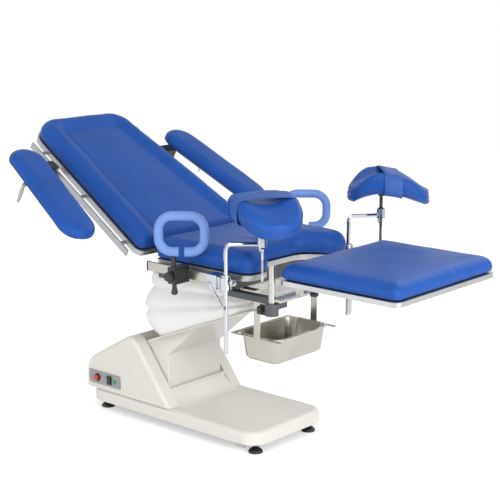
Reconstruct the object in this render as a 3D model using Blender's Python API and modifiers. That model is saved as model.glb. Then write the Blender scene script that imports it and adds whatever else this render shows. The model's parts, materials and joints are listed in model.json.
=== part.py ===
"""Electric gynaecology exam table: lifting column, tilting seat, reclining back, knee supports and leg section.

Metres, +Z up, +X towards the foot end, -Y the near side. Pieces are built about the front edge of the base
and the whole table is then centred over the floor origin.
"""
import math

import bmesh
import bpy
from mathutils import Matrix, Vector

OBJECT_NAME = "medical_exam_table"
SIDES = (("near", -1), ("far", 1))

# Fits and facets
GAP = 0.0003
SLIDE_GAP = 0.0006
PIN_GAP = 0.0005
CORNER_STEPS = 4
ROUND_STEPS = 16
TUBE_STEPS = 2

# Base
BASE_LENGTH = 0.897
BASE_HALF_WIDTH = 0.2126
BASE_CORNER = 0.07
BASE_BOTTOM = 0.040
BASE_TOP = 0.090
BASE_EDGE = 0.018
BASE_WALL = 0.004
CHASSIS_INSET = 0.020
CHASSIS_WALL = 0.005
CHASSIS_LIFT = 0.003
WELL_INSET = 0.052
WELL_REAR = BASE_LENGTH - WELL_INSET
WELL_FRONT = 0.502
RAMP_BACK = -0.4965
RAMP_LIP_TOP = 0.150
RAMP_LIP_DEPTH = 0.016
RAMP_FOOT = -0.390
FOOT_RADIUS = 0.0275
FOOT_HEIGHT = 0.018
FOOT_STEM_RADIUS = 0.008
FOOT_Y = 0.155
FOOT_FRONT_X = -0.045
FOOT_REAR_INSET = 0.052
FOOT_REAR_X = FOOT_REAR_INSET - BASE_LENGTH
CASTER_X = -0.112
CASTER_Y = 0.158
CASTER_RADIUS = 0.024
CASTER_WIDTH = 0.018
CASTER_CLEARANCE = 0.003
CASTER_AXLE_RADIUS = 0.004
FORK_THICKNESS = 0.004
FORK_HALF_LENGTH = 0.014

# Rear housing
HUMP_OVERHANG = 0.011
HUMP_REAR = -BASE_LENGTH - HUMP_OVERHANG
HUMP_SHOULDER_Z = 0.203
HUMP_SHOULDER_RADIUS = 0.08
HUMP_CREST_X = -0.642
HUMP_CREST_Z = 0.355
HUMP_CREST_RADIUS = 0.05
HUMP_FRONT = -0.4387
HUMP_EDGE = 0.014
HUMP_WALL = 0.004
SLOT_HALF_WIDTH = 0.155
SLOT_REAR = -0.660

# Controls
PANEL_LENGTH = 0.180
PANEL_HEIGHT = 0.054
PANEL_THICKNESS = 0.004
PANEL_INSET = 0.020
PANEL_REAR = HUMP_REAR + PANEL_INSET
PANEL_BOTTOM = 0.112
BUTTON_ALONG = 0.050
BUTTON_X = PANEL_REAR + BUTTON_ALONG
BUTTON_RADIUS = 0.012
BUTTON_STEM_RADIUS = 0.009
BUTTON_TRAVEL = 0.004
BUTTON_HEIGHT = 0.009
SWITCH_ALONG = 0.120
SWITCH_X = PANEL_REAR + SWITCH_ALONG
SWITCH_WIDTH = 0.020
SWITCH_HEIGHT = 0.032
SWITCH_DEPTH = 0.005
SWITCH_TILT = math.radians(6.0)

# Lift column
COLUMN_REAR = -0.652
COLUMN_FRONT = -0.500
COLUMN_HALF_WIDTH = 0.150
COLUMN_WALL = 0.004
COLUMN_BOTTOM = 0.105
FLARE_Z = 0.285
FLARE_ANGLE = math.radians(40.5)
SLAB_ANGLE = math.radians(21.6)
SLAB_FRONT_X = -0.055
SLAB_FRONT_Z = 0.537
SLAB_REAR_X = -0.560
SLAB_THICKNESS = 0.006
SLAB_HALF_WIDTH = 0.205
SLAB_HOLE_HALF_WIDTH = 0.100
SLAB_HOLE_REAR = -0.515
SLAB_HOLE_FRONT = -0.375
SLEEVE_CLEARANCE = 0.002
SLEEVE_WALL = 0.003
SLEEVE_TOP = 0.286
MAST_HALF = 0.056
MAST_WALL = 0.006
MAST_TOP = 0.280
MAST_BOTTOM = 0.048
TUBE_WALL = 0.005
TUBE_BOTTOM = 0.052
TUBE_TOP = 0.300

# Tilt head inside the bellows
TILT_X = -0.160
TILT_Z = 0.575
TILT_PIN_RADIUS = 0.008
HEAD_HALF_WIDTH = 0.030
HEAD_DEPTH = 0.055
LUG_GAP = 0.008
LUG_THICKNESS = 0.012
LUG_HALF_LENGTH = 0.024
PUSH_X = -0.370
PUSH_Y = -0.100
PUSH_BODY_RADIUS = 0.020
PUSH_BODY_TOP = 0.570
PUSH_BODY_BOTTOM = 0.4675
PUSH_ROD_RADIUS = 0.009
PUSH_ROD_BOTTOM = 0.535
PUSH_BORE_BOTTOM = 0.479
SHELF_THICKNESS = 0.012
SHELF_HALF_LENGTH = 0.030

# Bellows: rear x, rear z, front x, front z, half width of each ring, from the slab up
BELLOWS_RINGS = (
    (-0.590, 0.400, -0.075, 0.549, 0.208),
    (-0.603, 0.447, -0.085, 0.557, 0.208),
    (-0.594, 0.460, -0.090, 0.559, 0.201),
    (-0.606, 0.470, -0.080, 0.563, 0.210),
    (-0.585, 0.525, -0.100, 0.577, 0.205),
    (-0.567, 0.563, -0.115, 0.588, 0.199),
    (-0.572, 0.570, -0.105, 0.592, 0.203),
    (-0.567, 0.600, -0.085, 0.6205, 0.200),
)
BELLOWS_FOOT_REAR = -0.530
BELLOWS_FOOT_FRONT = -0.070
BELLOWS_FOOT_HALF_WIDTH = 0.196
BELLOWS_TOP_REAR = -0.558
BELLOWS_TOP_FRONT = -0.095
BELLOWS_TOP_HALF_WIDTH = 0.193
BELLOWS_CORNER = 0.05
BELLOWS_WALL = 0.003

# Seat
SEAT_REAR = -0.425
SEAT_LOBE_FRONT = 0.045
SEAT_HALF_WIDTH = 0.300
SEAT_CUT_FRONT_HALF = 0.185
SEAT_CUT_REAR_HALF = 0.115
SEAT_CUT_X = -0.060
SEAT_PAD_HEIGHT = 0.080
SEAT_TRAY_BOTTOM = 0.684
SEAT_TRAY_HEIGHT = 0.0205
SEAT_TRAY_INSET = 0.004
TRAY_WALL = 0.0025
CAP_BOTTOM = 0.628
CAP_THICKNESS = 0.012
CAP_REAR = -0.563
CAP_FRONT = -0.088
CAP_HALF_WIDTH = 0.198
BEAM_Y = 0.170
BEAM_WIDTH = 0.030
CROSS_REAR_X = -0.385
CROSS_FRONT_X = -0.075
CROSS_HALF_LENGTH = 0.014
CROSS_INSET = 0.004
CROSS_REACH = SEAT_HALF_WIDTH - CROSS_INSET
RAIL_OFFSET = 0.030
RAIL_Y = SEAT_HALF_WIDTH + RAIL_OFFSET
RAIL_THICKNESS = 0.010
RAIL_BOTTOM = 0.666
RAIL_HEIGHT = 0.034
RAIL_REAR = -0.415
RAIL_FRONT = 0.000
SPACER_HALF_LENGTH = 0.010
SPACER_DROP = 0.006

# Backrest, in its own frame: the hinge axis at the origin, lying flat towards -X
BACK_X = -0.465
BACK_Z = 0.690
BACK_ANGLE = math.radians(29.8)
BACK_START = 0.040
BACK_LENGTH = 0.800
BACK_HALF_WIDTH = 0.303
BACK_TOP_HALF_WIDTH = 0.232
BACK_BOTTOM_RADIUS = 0.03
BACK_TOP_RADIUS = 0.10
BACK_TRAY_DROP = 0.014
BACK_TRAY_HEIGHT = 0.022
BACK_PAD_HEIGHT = 0.066
BACK_PANEL_DEPTH = 0.013
BACK_BORDER = 0.078
BACK_PIN_RADIUS = 0.006
BACK_LUG_Y = 0.160
BACK_LUG_RADIUS = 0.016
BACK_ARM_LENGTH = 0.200
BACK_ARM_DEPTH = 0.014
BACK_RAIL_OFFSET = 0.040
BACK_RAIL_START = 0.060
BACK_RAIL_LENGTH = 0.700
BACK_RAIL_HEIGHT = 0.025
BACK_RAIL_THICKNESS = 0.008
BACK_RAIL_SPACERS = (0.06, 0.35, 0.64)

# Backrest drive: a slotted horn on the back, pushed by a rod under the seat
HORN_Y = 0.100
HORN_THICKNESS = 0.010
HORN_DROP = 0.083
HORN_LENGTH = 0.116
HORN_HALF_WIDTH = 0.014
HORN_SLOT_HALF_WIDTH = 0.0068
HORN_SLOT_HALF_LENGTH = 0.018
HORN_PIN_RADIUS = 0.004
DRIVE_RADIUS = 0.016
DRIVE_BORE_RADIUS = 0.0095
DRIVE_ROD_RADIUS = 0.009
DRIVE_REAR = -0.360
DRIVE_FRONT = -0.115
DRIVE_BORE_END = -0.140
DRIVE_ROD_END = -0.245
FORK_REACH = 0.030
FORK_GAP = 0.0025
FORK_PLATE = 0.004
FORK_HALF_HEIGHT = 0.009

# Arm boards, in the backrest frame
ARM_PIVOT_S = 0.600
ARM_PIVOT_Y = 0.360
ARM_LENGTH = 0.545
ARM_WIDTH = 0.154
ARM_PAD_HEIGHT = 0.042
ARM_PAD_BOTTOM = 0.0205
ARM_TOE_OUT = math.radians(9.3)
ARM_AXIS_OFFSET = 0.063
ARM_PIVOT_BACK = 0.200
ARM_PLATE_THICKNESS = 0.004
ARM_PLATE_INSET = 0.016
ARM_PIN_RADIUS = 0.008
ARM_EYE_RADIUS = 0.018
ARM_CLAMP_HALF_LENGTH = 0.022
ARM_CLAMP_DEPTH = 0.012
ARM_LEVER_S = 0.105
ARM_LEVER_OUT = 0.122
ARM_LEVER_LENGTH = 0.085
ARM_LEVER_WIDTH = 0.020
ARM_LEVER_THICKNESS = 0.005
ARM_LEVER_PIN_RADIUS = 0.004
ARM_LEVER_LUG = 0.014

# Hand grips
GRIP_X = {"near": -0.238, "far": -0.285}
GRIP_DROP = {"near": 0.0, "far": 0.022}
GRIP_OFFSET = 0.050
GRIP_Y = RAIL_Y + GRIP_OFFSET
GRIP_TURN = math.radians(38.0)
GRIP_HALF_WIDTH = 0.082
GRIP_BOTTOM = 0.7685
GRIP_HEIGHT = 0.130
GRIP_CORNER = 0.050
GRIP_RADIUS = 0.0170
GRIP_MOUTH = 0.022
GRIP_STEM_RADIUS = 0.009
GRIP_STEM_OFFSET = -0.030
GRIP_CLAMP_HALF_LENGTH = 0.018
GRIP_CLAMP_TOP = 0.712
GRIP_CLAMP_BOTTOM = 0.652
GRIP_CLAMP_MARGIN = 0.012
GRIP_CLAMP_OUT = GRIP_Y + GRIP_CLAMP_MARGIN
GRIP_KNOB_RADIUS = 0.018
GRIP_KNOB_DEPTH = 0.022
GRIP_KNOB_Z = 0.682

# Leg supports
POST_X = -0.012
POST_OFFSET = 0.022
POST_Y = RAIL_Y + POST_OFFSET
POST_RADIUS = 0.008
POST_BOTTOM = 0.430
POST_TOP = 0.822
POST_BEND = 0.020
POST_REACH = 0.127
POST_HEADING = {"near": math.radians(44.0), "far": math.radians(51.0)}
COLLAR_RADIUS = 0.0135
COLLAR_BOTTOM = 0.660
COLLAR_TOP = 0.712
COLLAR_FLANGE_RADIUS = 0.018
COLLAR_FLANGE = 0.006
CLAMP_REAR = -0.092
CLAMP_FRONT = -0.046
CLAMP_TOP = 0.708
CLAMP_BOTTOM = 0.660
CLAMP_MARGIN = 0.012
CLAMP_OUT = POST_Y + CLAMP_MARGIN
SOCKET_RADIUS = 0.021
CLAMP_LEVER_LENGTH = 0.118
CLAMP_LEVER_WIDTH = 0.014
CLAMP_LEVER_THICKNESS = 0.006
CLAMP_LEVER_ANGLE = math.radians(49.0)
CLAMP_LEVER_PIN_RADIUS = 0.005
CLAMP_LEVER_Z = 0.676
CUP_RADIUS = 0.017
CUP_BORE_RADIUS = 0.0128
CUP_BOTTOM = 0.812
CUP_TOP = 0.848
BALL_RADIUS = 0.0122
BALL_Z = 0.844
KNEE_STEM_RADIUS = 0.0065
KNEE_LEVER_TOP = 0.800
KNEE_LEVER_LENGTH = 0.115
KNEE_LEVER_WIDTH = 0.016
KNEE_LEVER_THICKNESS = 0.008
KNEE_LEVER_PIN_RADIUS = 0.004
KNEE_LEVER_EYE = 0.009

# Knee supports: a saddle, long axis outwards at KNEE_HEADING from the foot direction
KNEE_HEADING = {"near": math.radians(30.0), "far": math.radians(45.0)}
KNEE_CALF_END = 0.165
KNEE_THIGH_END = -0.110
KNEE_CROWN_L = -0.020
KNEE_FLOOR_Z = 0.978
KNEE_CALF_DROOP = 0.055
KNEE_THIGH_DROOP = 0.042
KNEE_HALF_WIDTH = 0.105
KNEE_EAR_RISE = 0.036
KNEE_PAD_THICKNESS = 0.052
KNEE_SHELL_THICKNESS = 0.006
KNEE_SHELL_MARGIN = 0.004
KNEE_HUB_RADIUS = 0.018
KNEE_HUB_HEIGHT = 0.020
KNEE_STATIONS = 10
KNEE_CROSS_STEPS = 8

# Leg section
LEG_REAR = 0.178
LEG_FRONT = 0.675
LEG_HALF_WIDTH = 0.300
LEG_REAR_RADIUS = 0.03
LEG_FRONT_RADIUS = 0.028
LEG_TRAY_BOTTOM = 0.700
LEG_TRAY_HEIGHT = 0.017
LEG_PAD_HEIGHT = 0.062
LEG_PIVOT_X = 0.165
LEG_PIVOT_Y = -0.312
LEG_POST_RADIUS = 0.012
LEG_POST_BOTTOM = 0.588
LEG_POST_TOP = 0.768
LEG_BAR_BOTTOM = 0.640
LEG_BAR_THICKNESS = 0.010
LEG_BAR_HALF_WIDTH = 0.022
LEG_BAR_END = 0.150
LEG_UPRIGHT_X = 0.196
LEG_UPRIGHT_Y = (-0.200, 0.130)
LEG_UPRIGHT_HALF = 0.010
LEG_BOSS_RADIUS = 0.024
LEG_BOSS_BOTTOM = 0.592
LEG_BOSS_TOP = 0.634
BRACKET_Y = -0.250
BRACKET_HALF_WIDTH = 0.016
BRACKET_BOTTOM = 0.612
BRACKET_TOP = 0.634
LEG_KNOB_Z = 0.604
LEG_KNOB_RADIUS = 0.020
LEG_KNOB_LENGTH = 0.022
LEG_KNOB_SHANK = 0.010
LEG_KNOB_SHANK_RADIUS = 0.006
LEG_KNOB_LOBES = 5
LEG_PIN_X = 0.430
LEG_PIN_Y = -0.220
LEG_PIN_RADIUS = 0.006
LEG_PIN_BOTTOM = 0.622
LEG_PIN_TIP = 0.012

# Basin
BASIN_REAR = -0.145
BASIN_FRONT = 0.065
BASIN_HALF_WIDTH = 0.1625
BASIN_RIM_Z = 0.446
BASIN_DEPTH = 0.100
BASIN_FLANGE = 0.010
BASIN_FLANGE_THICKNESS = 0.003
BASIN_WALL = 0.002
BASIN_TAPER = 0.012
BASIN_CORNER = 0.045
HANGER_X = -0.030
HANGER_HALF_WIDTH = 0.015
HANGER_THICKNESS = 0.003
RUNNER_REAR = -0.160
RUNNER_FRONT = 0.078
RUNNER_THICKNESS = 0.005


# Scene and finish helpers

def clear_scene():
    """Remove whatever the scene holds."""
    for old in list(bpy.data.objects):
        bpy.data.objects.remove(old)


def new_collection(name):
    """Make a collection in the scene."""
    collection = bpy.data.collections.new(name)
    bpy.context.scene.collection.children.link(collection)
    return collection


def finish(name, colour, roughness, metallic=0.0):
    """Make a plain Principled material from an sRGB colour."""
    material = bpy.data.materials.new(name)
    material.use_nodes = True
    shader = material.node_tree.nodes["Principled BSDF"]
    channels = [int(colour[i:i + 2], 16) / 255 for i in (0, 2, 4)]
    linear = [c / 12.92 if c <= 0.04045 else ((c + 0.055) / 1.055) ** 2.4 for c in channels]
    shader.inputs["Base Color"].default_value = (*linear, 1.0)
    shader.inputs["Roughness"].default_value = roughness
    shader.inputs["Metallic"].default_value = metallic
    return material


def pivot(name, location, parent=None, rotation=(0.0, 0.0, 0.0)):
    """An empty on a joint's axis. Location and rotation are in the parent's frame."""
    empty = bpy.data.objects.new(name, None)
    empty.empty_display_size = 0.05
    empty.location = location
    empty.rotation_euler = rotation
    empty.parent = parent
    bpy.data.collections[OBJECT_NAME].objects.link(empty)
    bpy.context.view_layer.update()
    return empty


def carry(piece, name, material, empty, local=False):
    """Name a finished piece and hang it on a pivot, built in the pivot's frame or in the table's."""
    piece.name = name
    piece.data.name = name
    piece.data.materials.clear()
    piece.data.materials.append(material)
    piece.data.shade_smooth()
    piece.data.set_sharp_from_angle(angle=math.radians(35.0))
    piece.parent = empty
    if not local:
        piece.matrix_parent_inverse = empty.matrix_world.inverted()
    return piece


# Shape helpers

def from_bmesh(bm):
    """Make an object of a bmesh whose faces are turned outwards."""
    bmesh.ops.recalc_face_normals(bm, faces=bm.faces)
    mesh = bpy.data.meshes.new("shape")
    bm.to_mesh(mesh)
    bm.free()
    shape = bpy.data.objects.new("shape", mesh)
    bpy.data.collections[OBJECT_NAME].objects.link(shape)
    return shape


def block(low, high):
    """A box between two corners."""
    bm = bmesh.new()
    bmesh.ops.create_cube(bm, size=1.0)
    size = Vector(high) - Vector(low)
    bmesh.ops.scale(bm, vec=size, verts=bm.verts)
    bmesh.ops.translate(bm, vec=Vector(low) + size / 2, verts=bm.verts)
    return from_bmesh(bm)


def rod(start, end, radius, end_radius=None, steps=ROUND_STEPS):
    """A round bar, or a cone, from start to end."""
    start = Vector(start)
    line = Vector(end) - start
    bm = bmesh.new()
    bmesh.ops.create_cone(bm, cap_ends=True, segments=steps, radius1=radius,
                          radius2=radius if end_radius is None else end_radius, depth=line.length)
    turn = line.to_track_quat("Z", "Y").to_matrix().to_4x4()
    bmesh.ops.transform(bm, matrix=Matrix.Translation(start + line / 2) @ turn, verts=bm.verts)
    return from_bmesh(bm)


def ball(centre, radius):
    """A sphere."""
    bm = bmesh.new()
    bmesh.ops.create_uvsphere(bm, u_segments=ROUND_STEPS, v_segments=ROUND_STEPS // 2, radius=radius)
    bmesh.ops.translate(bm, vec=Vector(centre), verts=bm.verts)
    return from_bmesh(bm)


def to_mesh(curve_object):
    """Turn a curve object into a welded mesh object in its place."""
    graph = bpy.context.evaluated_depsgraph_get()
    mesh = bpy.data.meshes.new_from_object(curve_object.evaluated_get(graph))
    bm = bmesh.new()
    bm.from_mesh(mesh)
    bmesh.ops.remove_doubles(bm, verts=bm.verts, dist=0.00001)
    bmesh.ops.transform(bm, matrix=curve_object.matrix_world, verts=bm.verts)
    bpy.data.objects.remove(curve_object)
    return from_bmesh(bm)


def curve_shape(points, cyclic, dimensions):
    """A poly curve object through points."""
    curve = bpy.data.curves.new("curve", "CURVE")
    curve.dimensions = dimensions
    spline = curve.splines.new("POLY")
    spline.points.add(len(points) - 1)
    for target, point in zip(spline.points, points):
        target.co = (*point, 1.0)
    spline.use_cyclic_u = cyclic
    shape = bpy.data.objects.new("curve", curve)
    bpy.data.collections[OBJECT_NAME].objects.link(shape)
    return shape


def prism(outline, low, high, upright=False):
    """A flat outline given a thickness along Z, or along Y when the outline is an upright (x, z) one."""
    shape = curve_shape([(a, b, 0.0) for a, b in outline], True, "2D")
    shape.data.fill_mode = "BOTH"
    shape.data.extrude = (high - low) / 2
    middle = (low + high) / 2
    if upright:
        shape.matrix_world = Matrix.Translation((0.0, middle, 0.0)) @ Matrix.Rotation(math.pi / 2, 4, "X")
    else:
        shape.matrix_world = Matrix.Translation((0.0, 0.0, middle))
    bpy.context.view_layer.update()
    return to_mesh(shape)


def tube(points, radius):
    """A round tube along points, with closed ends."""
    shape = curve_shape(points, False, "3D")
    shape.data.bevel_depth = radius
    shape.data.bevel_resolution = TUBE_STEPS
    shape.data.use_fill_caps = True
    bpy.context.view_layer.update()
    return to_mesh(shape)


def turned(profile):
    """A body turned about Z from an (r, z) profile that runs from its top centre to its bottom centre."""
    mesh = bpy.data.meshes.new("profile")
    edges = [(i, i + 1) for i in range(len(profile) - 1)]
    mesh.from_pydata([(r, 0.0, z) for r, z in profile], edges, [])
    shape = bpy.data.objects.new("profile", mesh)
    bpy.data.collections[OBJECT_NAME].objects.link(shape)
    screw = shape.modifiers.new("screw", "SCREW")
    screw.steps = ROUND_STEPS
    screw.render_steps = ROUND_STEPS
    screw.use_merge_vertices = True
    screw.merge_threshold = 0.00001
    return to_mesh(shape)


def boolean(body, tool, operation):
    """Join a tool to a body, or cut it from the body, and remove the tool."""
    modifier = body.modifiers.new("boolean", "BOOLEAN")
    modifier.operation = operation
    modifier.object = tool
    bpy.context.view_layer.update()
    graph = bpy.context.evaluated_depsgraph_get()
    mesh = bpy.data.meshes.new_from_object(body.evaluated_get(graph))
    body.modifiers.clear()
    body.data = mesh
    bpy.data.objects.remove(tool)
    return body


def joined(body, *others):
    """One solid from overlapping ones."""
    for other in others:
        body = boolean(body, other, "UNION")
    return body


def cut(body, *tools):
    """A body with tools cut out of it."""
    for tool in tools:
        body = boolean(body, tool, "DIFFERENCE")
    return body


def moved(shape, matrix):
    """Move a shape's own mesh."""
    shape.data.transform(matrix)
    return shape


def rounded(corners, inset=0.0, steps=CORNER_STEPS):
    """Points of a counter-clockwise polygon whose (x, y, radius) corners are rounded, moved in by inset."""
    points = []
    for index, (x, y, radius) in enumerate(corners):
        here = Vector((x, y))
        back = (Vector(corners[index - 1][:2]) - here).normalized()
        ahead = (Vector(corners[(index + 1) % len(corners)][:2]) - here).normalized()
        convex = 1.0 if back.x * ahead.y - back.y * ahead.x < 0.0 else -1.0
        half = back.angle(ahead) / 2
        bisector = (back + ahead).normalized()
        corner = here + bisector * (convex * inset / math.sin(half))
        arc = max(radius - convex * inset, 0.0005)
        centre = corner + bisector * (arc / math.sin(half))
        spoke = corner + back * (arc / math.tan(half)) - centre
        sweep = convex * (math.pi - 2 * half)
        for step in range(steps + 1):
            turn = Matrix.Rotation(sweep * step / steps, 2)
            points.append(tuple(centre + turn @ spoke))
    return points


def rectangle(x_low, x_high, half_width, radius_low, radius_high):
    """Corners of a rounded rectangle about the X axis, counter-clockwise."""
    return ((x_low, -half_width, radius_low), (x_high, -half_width, radius_high),
            (x_high, half_width, radius_high), (x_low, half_width, radius_low))


def loft(rings, closed=False):
    """A solid skinned over rings of points, capped at both ends or closed on itself."""
    bm = bmesh.new()
    rows = [[bm.verts.new(point) for point in ring] for ring in rings]
    pairs = list(zip(rows, rows[1:]))
    if closed:
        pairs.append((rows[-1], rows[0]))
    else:
        bm.faces.new(rows[0])
        bm.faces.new(rows[-1])
    for lower, upper in pairs:
        for i in range(len(lower)):
            j = (i + 1) % len(lower)
            bm.faces.new((lower[i], lower[j], upper[j], upper[i]))
    return from_bmesh(bm)


def stacked(corners, levels, steps=CORNER_STEPS):
    """A solid of rounded outlines, one for each (inset, z) level."""
    return loft([[(x, y, z) for x, y in rounded(corners, inset, steps)] for inset, z in levels])


def pan(corners, bottom, top, wall, edge=0.0):
    """A tray upside down: a top plate with a skirt, its upper edge rounded by edge."""
    levels = [(wall, top - wall), (wall, bottom), (0.0, bottom)]
    if edge:
        levels[:1] = [(edge, top - wall), (wall, top - edge)]
        levels += [(edge * (1 - math.cos(a)), top - edge + edge * math.sin(a))
                   for a in (0.0, math.pi / 6, math.pi / 3, math.pi / 2)]
    else:
        levels.append((0.0, top))
    return stacked(corners, levels)


def box_tube(x_low, x_high, half_width, bottom, top, wall):
    """An upright rectangular tube, open at both ends."""
    corners = rectangle(x_low, x_high, half_width, wall, wall)
    levels = ((0.0, bottom), (0.0, top), (wall * 0.9, top), (wall * 0.9, bottom))
    return loft([[(x, y, z) for x, y in rounded(corners, inset, 1)] for inset, z in levels], closed=True)


def cushion_levels(bottom, height, edge):
    """Levels of a padded edge: drawn in at the seam, fullest low down, rolled over to a crown."""
    return [(0.012, bottom), (0.002, bottom + 0.12 * height), (0.0, bottom + 0.35 * height),
            (0.12 * edge, bottom + 0.62 * height), (0.40 * edge, bottom + 0.84 * height),
            (0.75 * edge, bottom + 0.95 * height), (edge, bottom + height)]


def side_rail_slot(half_length, centre_x, side):
    """A cutter that lets a clamp sit on the seat rail."""
    low = RAIL_Y - RAIL_THICKNESS / 2 - GAP
    high = RAIL_Y + RAIL_THICKNESS / 2 + GAP
    ys = sorted((side * low, side * high))
    reach = half_length + 0.01
    return block((centre_x - reach, ys[0], RAIL_BOTTOM - GAP),
                 (centre_x + reach, ys[1], RAIL_BOTTOM + RAIL_HEIGHT + GAP))


def across(x_low, x_high, y_inner, y_outer, side, z_low, z_high):
    """A box on one side of the table, given by its distances from the mid-plane."""
    ys = sorted((side * y_inner, side * y_outer))
    return block((x_low, ys[0], z_low), (x_high, ys[1], z_high))


# Base

def base_corners():
    """Plan of the base."""
    return rectangle(-BASE_LENGTH, 0.0, BASE_HALF_WIDTH, BASE_CORNER, BASE_CORNER)


def ramp_outline():
    """Side view of the lip in front of the column and its sweep down to the plate."""
    lip = RAMP_BACK + RAMP_LIP_DEPTH
    sunk = BASE_TOP - BASE_WALL / 2
    sweep = [(lip, RAMP_LIP_TOP), (RAMP_BACK, RAMP_LIP_TOP), (RAMP_BACK, sunk), (RAMP_FOOT, sunk),
             (RAMP_FOOT, BASE_TOP)]
    run = RAMP_FOOT - lip
    rise = RAMP_LIP_TOP - BASE_TOP - 0.014
    for step in range(1, 5):
        share = step / 4
        sweep.append((RAMP_FOOT - run * share, BASE_TOP + rise * share ** 2.4))
    return sweep


def chassis_top():
    """Height of the chassis plate, just under the cover."""
    return BASE_TOP - BASE_WALL - GAP


def build_base(root, skins):
    """Cover, chassis with mast and caster forks, feet and casters."""
    cover = pan(base_corners(), BASE_BOTTOM, BASE_TOP, BASE_WALL, BASE_EDGE)
    ramp = prism(ramp_outline(), -SLOT_HALF_WIDTH + SLIDE_GAP, SLOT_HALF_WIDTH - SLIDE_GAP, upright=True)
    well = block((-WELL_REAR, -COLUMN_HALF_WIDTH, BASE_BOTTOM), (-WELL_FRONT, COLUMN_HALF_WIDTH, RAMP_LIP_TOP))
    carry(cut(joined(cover, ramp), well), "base_cover", skins["abs"], root)

    bottom = BASE_BOTTOM + CHASSIS_LIFT
    inner = rectangle(CHASSIS_INSET - BASE_LENGTH, -CHASSIS_INSET, BASE_HALF_WIDTH - CHASSIS_INSET,
                      BASE_CORNER - CHASSIS_INSET, BASE_CORNER - CHASSIS_INSET)
    chassis = pan(inner, bottom, chassis_top(), CHASSIS_WALL)
    mast_x = (COLUMN_REAR + COLUMN_FRONT) / 2
    plate_middle = chassis_top() - CHASSIS_WALL / 2
    bore_half = MAST_HALF - MAST_WALL
    mast = stacked(rectangle(mast_x - MAST_HALF, mast_x + MAST_HALF, MAST_HALF, MAST_WALL, MAST_WALL),
                   ((0.0, MAST_BOTTOM), (0.0, MAST_TOP)), 1)
    chassis = cut(joined(chassis, mast), block((mast_x - bore_half, -bore_half, 0.0),
                                               (mast_x + bore_half, bore_half, 1.0)))
    axle_z = CASTER_RADIUS + CASTER_CLEARANCE
    fork_inner = CASTER_WIDTH / 2 + SLIDE_GAP
    for name, side in SIDES:
        wheel_y = side * CASTER_Y
        for hand in (-1, 1):
            ys = sorted((wheel_y + hand * fork_inner, wheel_y + hand * (fork_inner + FORK_THICKNESS)))
            fork = block((CASTER_X - FORK_HALF_LENGTH, ys[0], axle_z - 2 * CASTER_AXLE_RADIUS),
                         (CASTER_X + FORK_HALF_LENGTH, ys[1], plate_middle))
            chassis = joined(chassis, fork)
        reach = fork_inner + FORK_THICKNESS * 0.8
        chassis = joined(chassis, rod((CASTER_X, wheel_y - reach, axle_z), (CASTER_X, wheel_y + reach, axle_z),
                                      CASTER_AXLE_RADIUS))
        axle = pivot(f"caster_{name}_axle", (CASTER_X, wheel_y, axle_z), root)
        wheel = rod((CASTER_X, wheel_y - CASTER_WIDTH / 2, axle_z), (CASTER_X, wheel_y + CASTER_WIDTH / 2, axle_z),
                    CASTER_RADIUS, steps=2 * ROUND_STEPS)
        hole = rod((CASTER_X, wheel_y - CASTER_WIDTH, axle_z), (CASTER_X, wheel_y + CASTER_WIDTH, axle_z),
                   CASTER_AXLE_RADIUS + PIN_GAP)
        carry(cut(wheel, hole), f"caster_{name}", skins["white"], axle)
        for end, foot_x in (("front", FOOT_FRONT_X), ("rear", FOOT_REAR_X)):
            stem_top = chassis_top() - CHASSIS_WALL - GAP
            foot = turned([(0.0, stem_top), (FOOT_STEM_RADIUS, stem_top), (FOOT_STEM_RADIUS, FOOT_HEIGHT + 0.004),
                           (FOOT_RADIUS * 0.55, FOOT_HEIGHT), (FOOT_RADIUS * 0.9, FOOT_HEIGHT * 0.55),
                           (FOOT_RADIUS, FOOT_HEIGHT * 0.3), (FOOT_RADIUS, 0.0), (0.0, 0.0)])
            moved(foot, Matrix.Translation((foot_x, side * FOOT_Y, 0.0)))
            carry(foot, f"foot_{name}_{end}", skins["black"], root)
    carry(chassis, "base_chassis", skins["dark_steel"], root)

    wall = COLUMN_WALL + SLEEVE_CLEARANCE
    sleeve = box_tube(COLUMN_REAR + wall, COLUMN_FRONT - wall, COLUMN_HALF_WIDTH - wall, chassis_top() + GAP,
                      SLEEVE_TOP, SLEEVE_WALL)
    carry(sleeve, "lift_sleeve", skins["abs"], root)


# Rear housing and controls

def hump_corners(sunk=0.0):
    """Side view of the housing, reaching sunk below the plate."""
    floor = BASE_TOP + GAP - sunk
    slope = (HUMP_CREST_X - HUMP_FRONT) / (HUMP_CREST_Z - BASE_TOP)
    return ((HUMP_REAR, floor, 0.002), (HUMP_FRONT - slope * sunk, floor, 0.002),
            (HUMP_CREST_X, HUMP_CREST_Z, HUMP_CREST_RADIUS),
            (HUMP_REAR, HUMP_SHOULDER_Z, HUMP_SHOULDER_RADIUS))


def hump_solid(sunk, inset):
    """The housing's full body moved in by inset, its cheeks rounded over at the sides."""
    edge = HUMP_EDGE - inset
    half_width = BASE_HALF_WIDTH - inset
    sections = []
    for a in (0.0, math.pi / 6, math.pi / 3, math.pi / 2):
        sections.append((half_width - edge + edge * math.cos(a), inset + edge * (1 - math.sin(a))))
    stations = [(-y, depth) for y, depth in sections] + [(y, depth) for y, depth in reversed(sections)]
    return loft([[(x, y, z) for x, z in rounded(hump_corners(sunk), depth)] for y, depth in stations])


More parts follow.
